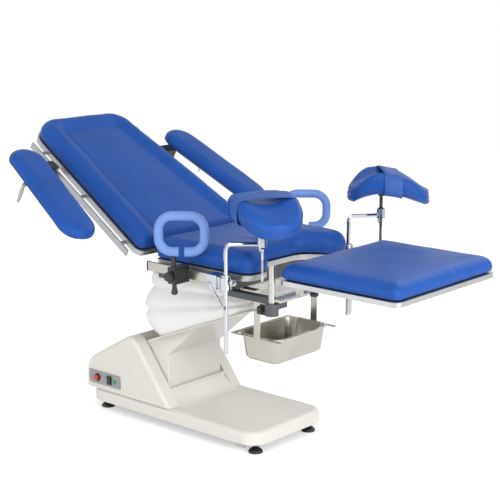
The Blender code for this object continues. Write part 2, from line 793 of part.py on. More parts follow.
def build_housing(root, skins):
    """White hump behind the column: two cheeks and a closed rear, hollow and open below."""
    sunk = 2 * HUMP_EDGE
    outer = hump_solid(sunk, 0.0)
    core = hump_solid(sunk, HUMP_WALL)
    slot_wall = block((SLOT_REAR - HUMP_WALL, -SLOT_HALF_WIDTH - HUMP_WALL, 0.0),
                      (0.0, SLOT_HALF_WIDTH + HUMP_WALL, 2 * HUMP_CREST_Z))
    slot = block((SLOT_REAR, -SLOT_HALF_WIDTH, 0.0), (0.0, SLOT_HALF_WIDTH, 2 * HUMP_CREST_Z))
    floor = block((-2.0, -1.0, -1.0), (1.0, 1.0, BASE_TOP + GAP))
    housing = cut(outer, cut(core, slot_wall), slot, floor)
    carry(housing, "rear_housing", skins["abs"], root)

    face = -BASE_HALF_WIDTH - GAP
    front = face - PANEL_THICKNESS
    middle = PANEL_BOTTOM + PANEL_HEIGHT / 2
    panel = block((PANEL_REAR, front, PANEL_BOTTOM), (PANEL_REAR + PANEL_LENGTH, face, PANEL_BOTTOM + PANEL_HEIGHT))
    hole = rod((BUTTON_X, front - 0.01, middle), (BUTTON_X, face + 0.01, middle), BUTTON_STEM_RADIUS + PIN_GAP)
    carry(cut(panel, hole), "control_panel", skins["panel"], root)

    stem_end = front - SLIDE_GAP
    head = front - BUTTON_TRAVEL - SLIDE_GAP
    button = pivot("stop_button_axis", (BUTTON_X, head, middle), root)
    cap = rod((BUTTON_X, head - BUTTON_HEIGHT, middle), (BUTTON_X, head, middle), BUTTON_RADIUS * 0.85, BUTTON_RADIUS)
    stem = rod((BUTTON_X, head - BUTTON_HEIGHT / 2, middle), (BUTTON_X, stem_end, middle), BUTTON_STEM_RADIUS)
    carry(joined(cap, stem), "stop_button", skins["red"], button)

    drop = SWITCH_HEIGHT / 2 * math.sin(SWITCH_TILT) + SLIDE_GAP
    rocker = pivot("power_switch_axis", (SWITCH_X, front - drop, middle), root, (SWITCH_TILT, 0.0, 0.0))
    outline = [(0.0, -SWITCH_HEIGHT / 2), (0.0, SWITCH_HEIGHT / 2), (-SWITCH_DEPTH, SWITCH_HEIGHT / 2),
               (-SWITCH_DEPTH * 0.7, 0.0), (-SWITCH_DEPTH, -SWITCH_HEIGHT / 2)]
    switch = prism(outline, -SWITCH_WIDTH / 2, SWITCH_WIDTH / 2)
    moved(switch, Matrix(((0, 0, 1, 0), (1, 0, 0, 0), (0, 1, 0, 0), (0, 0, 0, 1))))
    carry(switch, "power_switch", skins["black"], rocker, local=True)


# Lift column

def slab_z(x, lift=0.0):
    """Height of the sloping slab that closes the column's top, measured square to it."""
    return SLAB_FRONT_Z + (x - SLAB_FRONT_X) * math.tan(SLAB_ANGLE) + lift / math.cos(SLAB_ANGLE)


def slab_strip(x_low, x_high, lift, thickness):
    """Side view of a strip that lies along the slab."""
    return [(x_low, slab_z(x_low, lift)), (x_high, slab_z(x_high, lift)),
            (x_high, slab_z(x_high, lift + thickness)), (x_low, slab_z(x_low, lift + thickness))]


def column_outline(inset, top_lift):
    """Side view of the column: upright below, flared to meet the slab above."""
    climb = math.tan(FLARE_ANGLE)
    front = COLUMN_FRONT - inset
    flare = FLARE_Z + inset * math.tan(FLARE_ANGLE / 2)
    slab = math.tan(SLAB_ANGLE)
    meet = (slab_z(0.0, top_lift) - flare + climb * front) / (climb - slab)
    rear = COLUMN_REAR + inset
    bottom = COLUMN_BOTTOM - (0.01 if inset else 0.0)
    return [(rear, bottom), (front, bottom), (front, flare), (meet, slab_z(meet, top_lift)),
            (rear, slab_z(rear, top_lift))]


def build_column(column, skins):
    """Column cover, and the moving tube with its tilt head, push-rod body and pivot pin."""
    cover = prism(column_outline(0.0, SLAB_THICKNESS / 2), -COLUMN_HALF_WIDTH, COLUMN_HALF_WIDTH, upright=True)
    slab = prism(slab_strip(SLAB_REAR_X, SLAB_FRONT_X, 0.0, SLAB_THICKNESS), -SLAB_HALF_WIDTH, SLAB_HALF_WIDTH,
                 upright=True)
    inner_half = COLUMN_HALF_WIDTH - COLUMN_WALL
    hollow = prism(column_outline(COLUMN_WALL, -COLUMN_WALL), -inner_half, inner_half, upright=True)
    hole = prism(slab_strip(SLAB_HOLE_REAR, SLAB_HOLE_FRONT, -2 * COLUMN_WALL, 2 * (COLUMN_WALL + SLAB_THICKNESS)),
                 -SLAB_HOLE_HALF_WIDTH, SLAB_HOLE_HALF_WIDTH, upright=True)
    carry(cut(joined(cover, slab), hollow, hole), "column_cover", skins["abs"], column)

    middle = (COLUMN_REAR + COLUMN_FRONT) / 2
    half = MAST_HALF - MAST_WALL - SLIDE_GAP
    square = rectangle(middle - half, middle + half, half, TUBE_WALL, TUBE_WALL)
    moving = stacked(square, ((TUBE_WALL * 0.9, TUBE_TOP - TUBE_WALL), (TUBE_WALL * 0.9, TUBE_BOTTOM),
                              (0.0, TUBE_BOTTOM), (0.0, TUBE_TOP)), 1)
    flange_low = SLAB_THICKNESS + GAP
    flange = prism(slab_strip(SLAB_HOLE_REAR - 0.004, SLAB_HOLE_FRONT + 0.02, flange_low, SLAB_THICKNESS),
                   -SLAB_HOLE_HALF_WIDTH - 0.02, SLAB_HOLE_HALF_WIDTH + 0.02, upright=True)
    nose = TILT_X + HEAD_DEPTH * 0.4
    crown = TILT_Z + HEAD_DEPTH * 0.35
    throat = COLUMN_FRONT - SLEEVE_CLEARANCE
    heel = middle - half * 0.9
    girder = [(heel, SLEEVE_TOP - 0.03), (middle + half, SLEEVE_TOP + 0.003), (throat, SLEEVE_TOP + 0.011),
              (SLAB_HOLE_FRONT, slab_z(SLAB_HOLE_FRONT, flange_low + SLAB_THICKNESS)),
              (nose, TILT_Z - HEAD_DEPTH / 2), (nose, crown), (TILT_X - HEAD_DEPTH * 0.4, crown),
              (PUSH_X, PUSH_BODY_TOP - 1.5 * HEAD_DEPTH), (throat, SLEEVE_TOP + HEAD_DEPTH),
              (heel, TUBE_TOP - TUBE_WALL * 2)]
    head = prism(girder, -HEAD_HALF_WIDTH, HEAD_HALF_WIDTH, upright=True)
    pin_reach = HEAD_HALF_WIDTH + LUG_GAP + LUG_THICKNESS + 0.004
    pin = rod((TILT_X, -pin_reach, TILT_Z), (TILT_X, pin_reach, TILT_Z), TILT_PIN_RADIUS)
    shelf = block((PUSH_X - SHELF_HALF_LENGTH, PUSH_Y - PUSH_BODY_RADIUS, PUSH_BODY_BOTTOM - SHELF_THICKNESS),
                  (PUSH_X + SHELF_HALF_LENGTH, 0.0, PUSH_BODY_BOTTOM))
    body = rod((PUSH_X, PUSH_Y, PUSH_BODY_BOTTOM - SHELF_THICKNESS / 2), (PUSH_X, PUSH_Y, PUSH_BODY_TOP),
               PUSH_BODY_RADIUS)
    bore = rod((PUSH_X, PUSH_Y, PUSH_BORE_BOTTOM), (PUSH_X, PUSH_Y, PUSH_BODY_TOP + 0.02), PUSH_ROD_RADIUS + PIN_GAP)
    carry(cut(joined(moving, flange, head, pin, shelf, body), bore), "lift_tube", skins["dark_steel"], column)

    push = pivot("tilt_rod_axis", (PUSH_X, PUSH_Y, PUSH_ROD_BOTTOM), None)
    push.parent = column
    push.matrix_parent_inverse = column.matrix_world.inverted()
    bpy.context.view_layer.update()
    tip = CAP_BOTTOM - 2 * GAP - PUSH_ROD_RADIUS
    ram = turned([(PUSH_ROD_RADIUS * math.sin(a), tip + PUSH_ROD_RADIUS * math.cos(a))
                  for a in (0.0, math.pi / 8, math.pi / 4, 3 * math.pi / 8, math.pi / 2)]
                 + [(PUSH_ROD_RADIUS, PUSH_ROD_BOTTOM), (0.0, PUSH_ROD_BOTTOM)])
    carry(moved(ram, Matrix.Translation((PUSH_X, PUSH_Y, 0.0))), "tilt_rod", skins["chrome"], push)


def build_bellows(column, skins):
    """Fan-shaped accordion between the slab and the seat, a thin wall open at both ends."""
    foot_lift = SLAB_THICKNESS + GAP
    rings = [(BELLOWS_FOOT_REAR, slab_z(BELLOWS_FOOT_REAR, foot_lift), BELLOWS_FOOT_FRONT,
              slab_z(BELLOWS_FOOT_FRONT, foot_lift), BELLOWS_FOOT_HALF_WIDTH), *BELLOWS_RINGS,
             (BELLOWS_TOP_REAR, CAP_BOTTOM - GAP, BELLOWS_TOP_FRONT, CAP_BOTTOM - GAP, BELLOWS_TOP_HALF_WIDTH)]

    def ring(rear_x, rear_z, front_x, front_z, half_width, inset):
        corners = rectangle(rear_x, front_x, half_width, BELLOWS_CORNER, BELLOWS_CORNER)
        slope = (front_z - rear_z) / (front_x - rear_x)
        return [(x, y, rear_z + slope * (x - rear_x)) for x, y in rounded(corners, inset)]

    skin = [ring(*size, 0.0) for size in rings]
    lining = [ring(*size, BELLOWS_WALL) for size in reversed(rings)]
    carry(loft(skin + lining, closed=True), "bellows", skins["bellows"], column)


# Seat

def seat_corners():
    """Plan of the seat: two front lobes about a wide cut-out."""
    lobe = 0.050
    return ((SEAT_REAR, -SEAT_HALF_WIDTH, 0.035), (SEAT_LOBE_FRONT, -SEAT_HALF_WIDTH, lobe),
            (SEAT_LOBE_FRONT, -SEAT_CUT_FRONT_HALF, lobe), (SEAT_CUT_X, -SEAT_CUT_REAR_HALF, 0.08),
            (SEAT_CUT_X, SEAT_CUT_REAR_HALF, 0.08), (SEAT_LOBE_FRONT, SEAT_CUT_FRONT_HALF, lobe),
            (SEAT_LOBE_FRONT, SEAT_HALF_WIDTH, lobe), (SEAT_REAR, SEAT_HALF_WIDTH, 0.035))


def seat_frame_solid():
    """Steel frame: bellows cap, beams, tilt lugs, back hinge lugs, drive barrel and leg bracket."""
    beam_bottom = CAP_BOTTOM + CAP_THICKNESS / 2
    beam_top = SEAT_TRAY_BOTTOM - GAP
    frame = block((CAP_REAR, -CAP_HALF_WIDTH, CAP_BOTTOM), (CAP_FRONT, CAP_HALF_WIDTH, CAP_BOTTOM + CAP_THICKNESS))
    horn_reach = HORN_HALF_WIDTH + 0.075
    slot_half = HORN_THICKNESS / 2 + FORK_GAP
    frame = cut(frame, block((BACK_X - horn_reach, HORN_Y - slot_half, CAP_BOTTOM - 0.01),
                             (BACK_X + horn_reach, HORN_Y + slot_half, CAP_BOTTOM + 0.02)))
    for side in (-1, 1):
        frame = joined(frame, across(CROSS_REAR_X, CROSS_FRONT_X, BEAM_Y, BEAM_Y + BEAM_WIDTH * 0.9, side,
                                     beam_bottom, beam_top))
        lug_low = HEAD_HALF_WIDTH + LUG_GAP
        lug = across(TILT_X - LUG_HALF_LENGTH, TILT_X + LUG_HALF_LENGTH, lug_low, lug_low + LUG_THICKNESS, side,
                     TILT_Z - LUG_HALF_LENGTH, beam_bottom)
        frame = joined(frame, lug)
        hinge_lug = across(BACK_X - BACK_LUG_RADIUS, BACK_X + 2 * BACK_LUG_RADIUS, BACK_LUG_Y,
                           BACK_LUG_Y + LUG_THICKNESS, side,
                           CAP_BOTTOM + CAP_THICKNESS * 0.6, BACK_Z + BACK_LUG_RADIUS * 0.6)
        frame = joined(frame, hinge_lug)
    for x in (CROSS_REAR_X, CROSS_FRONT_X):
        frame = joined(frame, block((x - CROSS_HALF_LENGTH, -CROSS_REACH, beam_bottom + 0.002),
                                    (x + CROSS_HALF_LENGTH, CROSS_REACH, beam_top)))
    drive_z = BACK_Z - HORN_DROP
    barrel = rod((DRIVE_REAR, HORN_Y, drive_z), (DRIVE_FRONT, HORN_Y, drive_z), DRIVE_RADIUS)
    saddle = block((DRIVE_REAR + 0.02, HORN_Y - DRIVE_RADIUS * 0.6, drive_z),
                   (DRIVE_FRONT - 0.03, HORN_Y + DRIVE_RADIUS * 0.6, beam_bottom))
    bracket = block((CROSS_FRONT_X - CROSS_HALF_LENGTH, BRACKET_Y - BRACKET_HALF_WIDTH, BRACKET_BOTTOM),
                    (LEG_PIVOT_X, BRACKET_Y + BRACKET_HALF_WIDTH, BRACKET_TOP))
    drop = block((CROSS_FRONT_X - CROSS_HALF_LENGTH * 0.8, BRACKET_Y - BRACKET_HALF_WIDTH * 0.8, BRACKET_TOP - 0.004),
                 (CROSS_FRONT_X + CROSS_HALF_LENGTH * 0.8, BRACKET_Y + BRACKET_HALF_WIDTH * 0.8, beam_bottom + 0.01))
    cheek = block((LEG_PIVOT_X - LEG_BOSS_RADIUS * 0.7, LEG_PIVOT_Y, BRACKET_BOTTOM + 0.001),
                  (LEG_PIVOT_X + LEG_BOSS_RADIUS * 0.7, BRACKET_Y, BRACKET_TOP - 0.001))
    boss = rod((LEG_PIVOT_X, LEG_PIVOT_Y, LEG_BOSS_BOTTOM), (LEG_PIVOT_X, LEG_PIVOT_Y, LEG_BOSS_TOP), LEG_BOSS_RADIUS,
               steps=2 * ROUND_STEPS)
    frame = joined(frame, barrel, saddle, bracket, drop, cheek, boss)
    far = 1.0
    return cut(frame,
               rod((TILT_X, -far, TILT_Z), (TILT_X, far, TILT_Z), TILT_PIN_RADIUS + PIN_GAP),
               rod((BACK_X, -far, BACK_Z), (BACK_X, far, BACK_Z), BACK_PIN_RADIUS + PIN_GAP),
               rod((DRIVE_REAR - 0.02, HORN_Y, drive_z), (DRIVE_BORE_END, HORN_Y, drive_z), DRIVE_BORE_RADIUS),
               rod((LEG_PIVOT_X, LEG_PIVOT_Y, 0.5), (LEG_PIVOT_X, LEG_PIVOT_Y, 0.7), LEG_POST_RADIUS + PIN_GAP))


def build_seat(seat, skins):
    """Frame, tray, cushion and side rails."""
    carry(seat_frame_solid(), "seat_frame", skins["dark_steel"], seat)
    tray_top = SEAT_TRAY_BOTTOM + SEAT_TRAY_HEIGHT
    levels = ((SEAT_TRAY_INSET + TRAY_WALL, tray_top - TRAY_WALL), (SEAT_TRAY_INSET + TRAY_WALL, SEAT_TRAY_BOTTOM),
              (SEAT_TRAY_INSET, SEAT_TRAY_BOTTOM), (SEAT_TRAY_INSET, tray_top))
    carry(stacked(seat_corners(), levels), "seat_tray", skins["trim"], seat)
    cushion = stacked(seat_corners(), cushion_levels(tray_top + GAP, SEAT_PAD_HEIGHT, 0.042))
    carry(cushion, "seat_pad", skins["vinyl"], seat)
    for name, side in SIDES:
        inner = RAIL_Y - RAIL_THICKNESS / 2
        rail = across(RAIL_REAR, RAIL_FRONT, inner, inner + RAIL_THICKNESS, side, RAIL_BOTTOM,
                      RAIL_BOTTOM + RAIL_HEIGHT)
        for x in (CROSS_REAR_X, CROSS_FRONT_X):
            spacer = across(x - SPACER_HALF_LENGTH, x + SPACER_HALF_LENGTH, CROSS_REACH + GAP, RAIL_Y, side,
                            RAIL_BOTTOM - SPACER_DROP, SEAT_TRAY_BOTTOM - 2 * GAP)
            rail = joined(rail, spacer)
        carry(rail, f"seat_rail_{name}", skins["steel"], seat)


def build_basin(seat, skins):
    """Hanger with runners, and the pan that slides on them."""
    flange_bottom = BASIN_RIM_Z - BASIN_FLANGE_THICKNESS
    runner_top = flange_bottom - GAP
    body_half = BASIN_HALF_WIDTH - BASIN_FLANGE
    strap_inner = BASIN_HALF_WIDTH + SLIDE_GAP
    strap_outer = strap_inner + HANGER_THICKNESS
    low = runner_top - RUNNER_THICKNESS
    hanger = block((RUNNER_REAR, -strap_outer, low),
                   (BASIN_REAR - SLIDE_GAP, strap_outer, runner_top))
    cap = CAP_BOTTOM - GAP
    for side in (-1, 1):
        hanger = joined(hanger, across(RUNNER_REAR, RUNNER_FRONT, body_half + SLIDE_GAP, strap_outer, side, low,
                                       runner_top))
        strap_x = (HANGER_X - HANGER_HALF_WIDTH, HANGER_X + HANGER_HALF_WIDTH)
        hanger = joined(hanger, across(*strap_x, strap_inner, strap_outer, side, low, cap))
        top = across(CROSS_FRONT_X - CROSS_HALF_LENGTH, strap_x[1], strap_inner, strap_inner + 0.03, side,
                     cap - HANGER_THICKNESS, cap)
        seat_block = across(CROSS_FRONT_X - CROSS_HALF_LENGTH * 0.8, CROSS_FRONT_X + CROSS_HALF_LENGTH * 0.8,
                            CAP_HALF_WIDTH + SLIDE_GAP, CAP_HALF_WIDTH + 0.02, side, cap - HANGER_THICKNESS,
                            CAP_BOTTOM + CAP_THICKNESS / 2 + 0.002 - GAP)
        bridge = across(CROSS_FRONT_X - CROSS_HALF_LENGTH * 0.8, CROSS_FRONT_X + CROSS_HALF_LENGTH * 0.8,
                        strap_inner, CAP_HALF_WIDTH + 0.02, side, cap - HANGER_THICKNESS, cap)
        hanger = joined(hanger, top, bridge, seat_block)
    carry(hanger, "basin_hanger", skins["steel"], seat)

    slide = pivot("basin_axis", (BASIN_REAR, 0.0, runner_top), None)
    slide.parent = seat
    slide.matrix_parent_inverse = seat.matrix_world.inverted()
    bpy.context.view_layer.update()
    body = rectangle(BASIN_REAR + BASIN_FLANGE, BASIN_FRONT - BASIN_FLANGE, body_half, BASIN_CORNER, BASIN_CORNER)
    floor = BASIN_RIM_Z - BASIN_DEPTH
    levels = ((BASIN_TAPER + 0.012, floor + BASIN_WALL), (BASIN_TAPER + BASIN_WALL, floor + 0.012),
              (BASIN_WALL, BASIN_RIM_Z), (-BASIN_FLANGE, BASIN_RIM_Z), (-BASIN_FLANGE, flange_bottom),
              (0.0, flange_bottom), (BASIN_TAPER, floor + 0.010), (BASIN_TAPER + 0.010, floor))
    carry(stacked(body, levels), "basin", skins["steel"], slide)


# Backrest

def back_corners():
    """Plan of the backrest, lying flat."""
    head = -BACK_START - BACK_LENGTH
    return ((-BACK_START, -BACK_HALF_WIDTH, BACK_BOTTOM_RADIUS), (-BACK_START, BACK_HALF_WIDTH, BACK_BOTTOM_RADIUS),
            (head, BACK_TOP_HALF_WIDTH, BACK_TOP_RADIUS), (head, -BACK_TOP_HALF_WIDTH, BACK_TOP_RADIUS))


def back_edge(s):
    """Half width of the backrest at a distance s from the hinge."""
    return BACK_HALF_WIDTH - (s - BACK_START) * (BACK_HALF_WIDTH - BACK_TOP_HALF_WIDTH) / BACK_LENGTH


def back_rail(side):
    """Flat accessory bar along one tapered side, with its spacers."""
    taper = math.atan((BACK_HALF_WIDTH - BACK_TOP_HALF_WIDTH) / BACK_LENGTH)
    start = Vector((-BACK_RAIL_START, side * (back_edge(BACK_RAIL_START) + BACK_RAIL_OFFSET), 0.0))
    middle = BACK_TRAY_HEIGHT / 2 - BACK_TRAY_DROP
    bar = block((-BACK_RAIL_LENGTH, -BACK_RAIL_THICKNESS / 2, middle - BACK_RAIL_HEIGHT / 2),
                (0.0, BACK_RAIL_THICKNESS / 2, middle + BACK_RAIL_HEIGHT / 2))
    for s in BACK_RAIL_SPACERS:
        bar = joined(bar, rod((-s, 0.0, middle), (-s, -side * (BACK_RAIL_OFFSET + TRAY_WALL * 0.5), middle), 0.007,
                              steps=8))
    return moved(bar, Matrix.Translation(start) @ Matrix.Rotation(side * taper, 4, "Z"))


def build_back(seat, skins):
    """Tray with hinge arms, pin, horn and rails, and the cushion. Returns its pivot."""
    back = pivot("back_axis", (BACK_X, 0.0, BACK_Z), None, (0.0, BACK_ANGLE, 0.0))
    back.parent = seat
    back.matrix_parent_inverse = seat.matrix_world.inverted()
    bpy.context.view_layer.update()
    tray_top = BACK_TRAY_HEIGHT - BACK_TRAY_DROP
    frame = pan(back_corners(), -BACK_TRAY_DROP, tray_top, TRAY_WALL)
    arm_inner = BACK_LUG_Y - LUG_THICKNESS - SLIDE_GAP
    for side in (-1, 1):
        arm = across(-BACK_ARM_LENGTH, BACK_LUG_RADIUS * 0.6, arm_inner, BACK_LUG_Y - SLIDE_GAP, side,
                     -BACK_TRAY_DROP - BACK_ARM_DEPTH * 0.2, BACK_ARM_DEPTH * 0.45)
        strut = across(-BACK_ARM_LENGTH, -BACK_START - 0.01, arm_inner + 0.001, BACK_LUG_Y - SLIDE_GAP - 0.001, side,
                       -BACK_TRAY_DROP * 0.5, tray_top - TRAY_WALL / 2)
        frame = joined(frame, arm, strut)
    pin_reach = BACK_LUG_Y + LUG_THICKNESS + 0.004
    frame = joined(frame, rod((0.0, -pin_reach, 0.0), (0.0, pin_reach, 0.0), BACK_PIN_RADIUS))
    horn = block((-HORN_HALF_WIDTH, HORN_Y - HORN_THICKNESS / 2, -HORN_LENGTH),
                 (HORN_HALF_WIDTH, HORN_Y + HORN_THICKNESS / 2, BACK_PIN_RADIUS * 1.6))
    slot = block((-HORN_SLOT_HALF_WIDTH, HORN_Y - 0.05, -HORN_DROP - HORN_SLOT_HALF_LENGTH),
                 (HORN_SLOT_HALF_WIDTH, HORN_Y + 0.05, -HORN_DROP + HORN_SLOT_HALF_LENGTH * 0.6))
    horn = moved(cut(horn, slot), Matrix.Rotation(-BACK_ANGLE, 4, "Y"))
    frame = joined(frame, horn, back_rail(-1), back_rail(1))
    carry(frame, "back_frame", skins["trim"], back, local=True)

    bottom = tray_top + GAP
    top = bottom + BACK_PAD_HEIGHT
    cushion = stacked(back_corners(), cushion_levels(bottom, BACK_PAD_HEIGHT, 0.040))
    head = -BACK_START - BACK_LENGTH + BACK_BORDER
    reach = BACK_START
    panel = ((reach, -back_edge(-reach) + BACK_BORDER, 0.01), (reach, back_edge(-reach) - BACK_BORDER, 0.01),
             (head, back_edge(-head) - BACK_BORDER, 0.03), (head, -back_edge(-head) + BACK_BORDER, 0.03))
    recess = stacked(panel, ((0.0, top - BACK_PANEL_DEPTH), (-0.022, top + 0.002)))
    carry(cut(cushion, recess), "back_pad", skins["vinyl"], back, local=True)
    return back


def build_drive_rod(seat, skins):
    """The rod that pushes the slotted horn, forked about it."""
    drive_z = BACK_Z - HORN_DROP
    drive = pivot("back_rod_axis", (BACK_X, HORN_Y, drive_z), None)
    drive.parent = seat
    drive.matrix_parent_inverse = seat.matrix_world.inverted()
    bpy.context.view_layer.update()
    root_x = BACK_X + FORK_REACH
    outer = HORN_THICKNESS / 2 + FORK_GAP + FORK_PLATE
    shank = rod((root_x, HORN_Y, drive_z), (DRIVE_ROD_END, HORN_Y, drive_z), DRIVE_ROD_RADIUS)
    heel = block((root_x - 0.002, HORN_Y - outer, drive_z - FORK_HALF_HEIGHT),
                 (root_x + 0.008, HORN_Y + outer, drive_z + FORK_HALF_HEIGHT))
    shank = joined(shank, heel)
    for hand in (-1, 1):
        ys = sorted((HORN_Y + hand * (outer - FORK_PLATE), HORN_Y + hand * outer))
        shank = joined(shank, block((BACK_X - FORK_HALF_HEIGHT, ys[0], drive_z - FORK_HALF_HEIGHT * 0.9),
                                    (root_x + 0.004, ys[1], drive_z + FORK_HALF_HEIGHT * 0.9)))
    pin = rod((BACK_X, HORN_Y - outer * 0.95, drive_z), (BACK_X, HORN_Y + outer * 0.95, drive_z), HORN_PIN_RADIUS)
    carry(joined(shank, pin), "back_rod", skins["chrome"], drive)


def build_arm(back, skins, name, side):
    """One arm board: rail clamp, plate, cushion and lock lever."""
    taper = math.atan((BACK_HALF_WIDTH - BACK_TOP_HALF_WIDTH) / BACK_LENGTH)
    rail_y = back_edge(ARM_PIVOT_S) + BACK_RAIL_OFFSET
    rail_middle = BACK_TRAY_HEIGHT / 2 - BACK_TRAY_DROP
    plate_bottom = ARM_PAD_BOTTOM - GAP - ARM_PLATE_THICKNESS
    clamp_top = plate_bottom - GAP
    low = rail_middle - BACK_RAIL_HEIGHT / 2 - ARM_CLAMP_DEPTH
    clamp = across(-ARM_PIVOT_S - ARM_CLAMP_HALF_LENGTH, -ARM_PIVOT_S + ARM_CLAMP_HALF_LENGTH,
                   rail_y - 0.012, ARM_PIVOT_Y + ARM_EYE_RADIUS, side, low, clamp_top)
    channel = block((-0.1, -BACK_RAIL_THICKNESS / 2 - GAP, rail_middle - BACK_RAIL_HEIGHT / 2 - GAP),
                    (0.1, BACK_RAIL_THICKNESS / 2 + GAP, rail_middle + BACK_RAIL_HEIGHT / 2 + GAP))
    place = Matrix.Translation((-ARM_PIVOT_S, side * rail_y, 0.0)) @ Matrix.Rotation(side * taper, 4, "Z")
    clamp = cut(clamp, moved(channel, place))
    pin = rod((-ARM_PIVOT_S, side * ARM_PIVOT_Y, low + 0.004),
              (-ARM_PIVOT_S, side * ARM_PIVOT_Y, ARM_PAD_BOTTOM - 2 * GAP), ARM_PIN_RADIUS)
    carry(joined(clamp, pin), f"arm_clamp_{name}", skins["black"], back, local=True)

    turn = pivot(f"arm_{name}_axis", (-ARM_PIVOT_S, side * ARM_PIVOT_Y, 0.0), back, (0.0, 0.0, side * ARM_TOE_OUT))
    board_y = side * ARM_AXIS_OFFSET
    head = -(ARM_LENGTH - ARM_PIVOT_BACK - ARM_WIDTH / 2) + ARM_LENGTH
    board = rectangle(head - ARM_LENGTH, head, ARM_WIDTH / 2, ARM_WIDTH / 2 - 0.0005, ARM_WIDTH / 2 - 0.0005)
    centre = (head - ARM_LENGTH / 2)
    shift = Matrix.Translation((ARM_PIVOT_BACK - centre, board_y, 0.0))
    plate = stacked(board, ((ARM_PLATE_INSET, plate_bottom), (ARM_PLATE_INSET, plate_bottom + ARM_PLATE_THICKNESS)))
    moved(plate, shift)
    eye = rod((0.0, 0.0, plate_bottom), (0.0, 0.0, plate_bottom + ARM_PLATE_THICKNESS), ARM_EYE_RADIUS)
    lever_x = ARM_LEVER_S
    lever_y = side * ARM_LEVER_OUT
    lug_y = sorted((lever_y - side * ARM_LEVER_THICKNESS, lever_y))
    lug = block((lever_x - ARM_LEVER_LUG / 2, lug_y[0], plate_bottom - ARM_LEVER_LUG),
                (lever_x + ARM_LEVER_LUG / 2, lug_y[1], plate_bottom + ARM_PLATE_THICKNESS / 2))
    hinge_z = plate_bottom - ARM_LEVER_LUG * 0.55
    reach = ARM_LEVER_THICKNESS + SLIDE_GAP
    stud = rod((lever_x, lever_y - side * 0.003, hinge_z), (lever_x, lever_y + side * reach, hinge_z),
               ARM_LEVER_PIN_RADIUS)
    hole = rod((0.0, 0.0, -1.0), (0.0, 0.0, 1.0), ARM_PIN_RADIUS + PIN_GAP)
    carry(cut(joined(plate, eye, lug, stud), hole), f"arm_plate_{name}", skins["dark_steel"], turn, local=True)

    pad = stacked(board, cushion_levels(ARM_PAD_BOTTOM, ARM_PAD_HEIGHT, 0.034))
    carry(moved(pad, shift), f"arm_pad_{name}", skins["vinyl"], turn, local=True)

    swing = pivot(f"arm_lever_{name}_axis", (lever_x, lever_y, hinge_z), turn)
    eye_half = ARM_LEVER_WIDTH * 0.32
    outline = rounded(((-eye_half, 0.006, 0.005), (-ARM_LEVER_WIDTH / 2, -ARM_LEVER_LENGTH * 0.55, 0.012),
                       (-0.003, -ARM_LEVER_LENGTH, 0.003), (0.003, -ARM_LEVER_LENGTH, 0.003),
                       (ARM_LEVER_WIDTH / 2, -ARM_LEVER_LENGTH * 0.55, 0.012), (eye_half, 0.006, 0.005)), steps=2)
    ys = sorted((side * SLIDE_GAP, side * (SLIDE_GAP + ARM_LEVER_THICKNESS)))
    lever = prism(outline, ys[0], ys[1], upright=True)
    lever = cut(lever, rod((0.0, -0.05, 0.0), (0.0, 0.05, 0.0), ARM_LEVER_PIN_RADIUS + PIN_GAP))
    carry(lever, f"arm_lever_{name}", skins["chrome"], swing, local=True)


# Hand grips

def grip_path():
    """Centre line of a grip: a rounded rectangle with a gap in its bottom bar."""
    low = GRIP_BOTTOM
    high = GRIP_BOTTOM + GRIP_HEIGHT
    width = GRIP_HALF_WIDTH
    corners = ((-width, low), (-width, high), (width, high), (width, low))
    starts = (1.5 * math.pi, math.pi, 0.5 * math.pi, 0.0)
    points = [(-GRIP_MOUTH / 2, 0.0, low)]
    for (x, z), start in zip(corners, starts):
        centre_x = x - math.copysign(GRIP_CORNER, x)
        centre_z = low + GRIP_CORNER if z == low else high - GRIP_CORNER
        for step in range(5):
            a = start - step * math.pi / 8
            points.append((centre_x + GRIP_CORNER * math.cos(a), 0.0, centre_z + GRIP_CORNER * math.sin(a)))
    points.append((GRIP_MOUTH / 2, 0.0, low))
    return points


def build_grip(seat, skins, name, side):
    """Clamp on the rail, round knob and foam loop."""
    x = GRIP_X[name]
    clamp = across(x - GRIP_CLAMP_HALF_LENGTH, x + GRIP_CLAMP_HALF_LENGTH, RAIL_Y - 0.012, GRIP_CLAMP_OUT, side,
                   GRIP_CLAMP_BOTTOM, GRIP_CLAMP_TOP)
    drop = GRIP_DROP[name]
    stem_top = GRIP_BOTTOM - drop - GRIP_RADIUS - GAP
    stem = rod((x, side * GRIP_Y, GRIP_CLAMP_BOTTOM + 0.004), (x, side * GRIP_Y, stem_top), GRIP_STEM_RADIUS)
    clamp = cut(joined(clamp, stem), side_rail_slot(GRIP_CLAMP_HALF_LENGTH, x, side))
    carry(clamp, f"handle_clamp_{name}", skins["black"], seat)

    turn = pivot(f"handle_{name}_axis", (x, side * GRIP_Y, 0.0), None, (0.0, 0.0, GRIP_TURN))
    turn.parent = seat
    turn.matrix_parent_inverse = seat.matrix_world.inverted()
    bpy.context.view_layer.update()
    loop = moved(tube(grip_path(), GRIP_RADIUS), Matrix.Translation((-GRIP_STEM_OFFSET, 0.0, -drop)))
    carry(loop, f"handle_loop_{name}", skins["foam"], turn, local=True)

    face = side * (GRIP_CLAMP_OUT + GAP)
    knob = pivot(f"handle_knob_{name}_axis", (x, face, GRIP_KNOB_Z), None)
    knob.parent = seat
    knob.matrix_parent_inverse = seat.matrix_world.inverted()
    bpy.context.view_layer.update()
    collar = rod((0.0, 0.0, 0.0), (0.0, side * GRIP_KNOB_DEPTH * 0.5, 0.0), GRIP_KNOB_RADIUS * 0.55)
    head = rod((0.0, side * GRIP_KNOB_DEPTH * 0.35, 0.0), (0.0, side * GRIP_KNOB_DEPTH, 0.0), GRIP_KNOB_RADIUS,
               GRIP_KNOB_RADIUS * 0.9)
    carry(joined(collar, head), f"handle_knob_{name}", skins["black"], knob, local=True)


# Leg supports

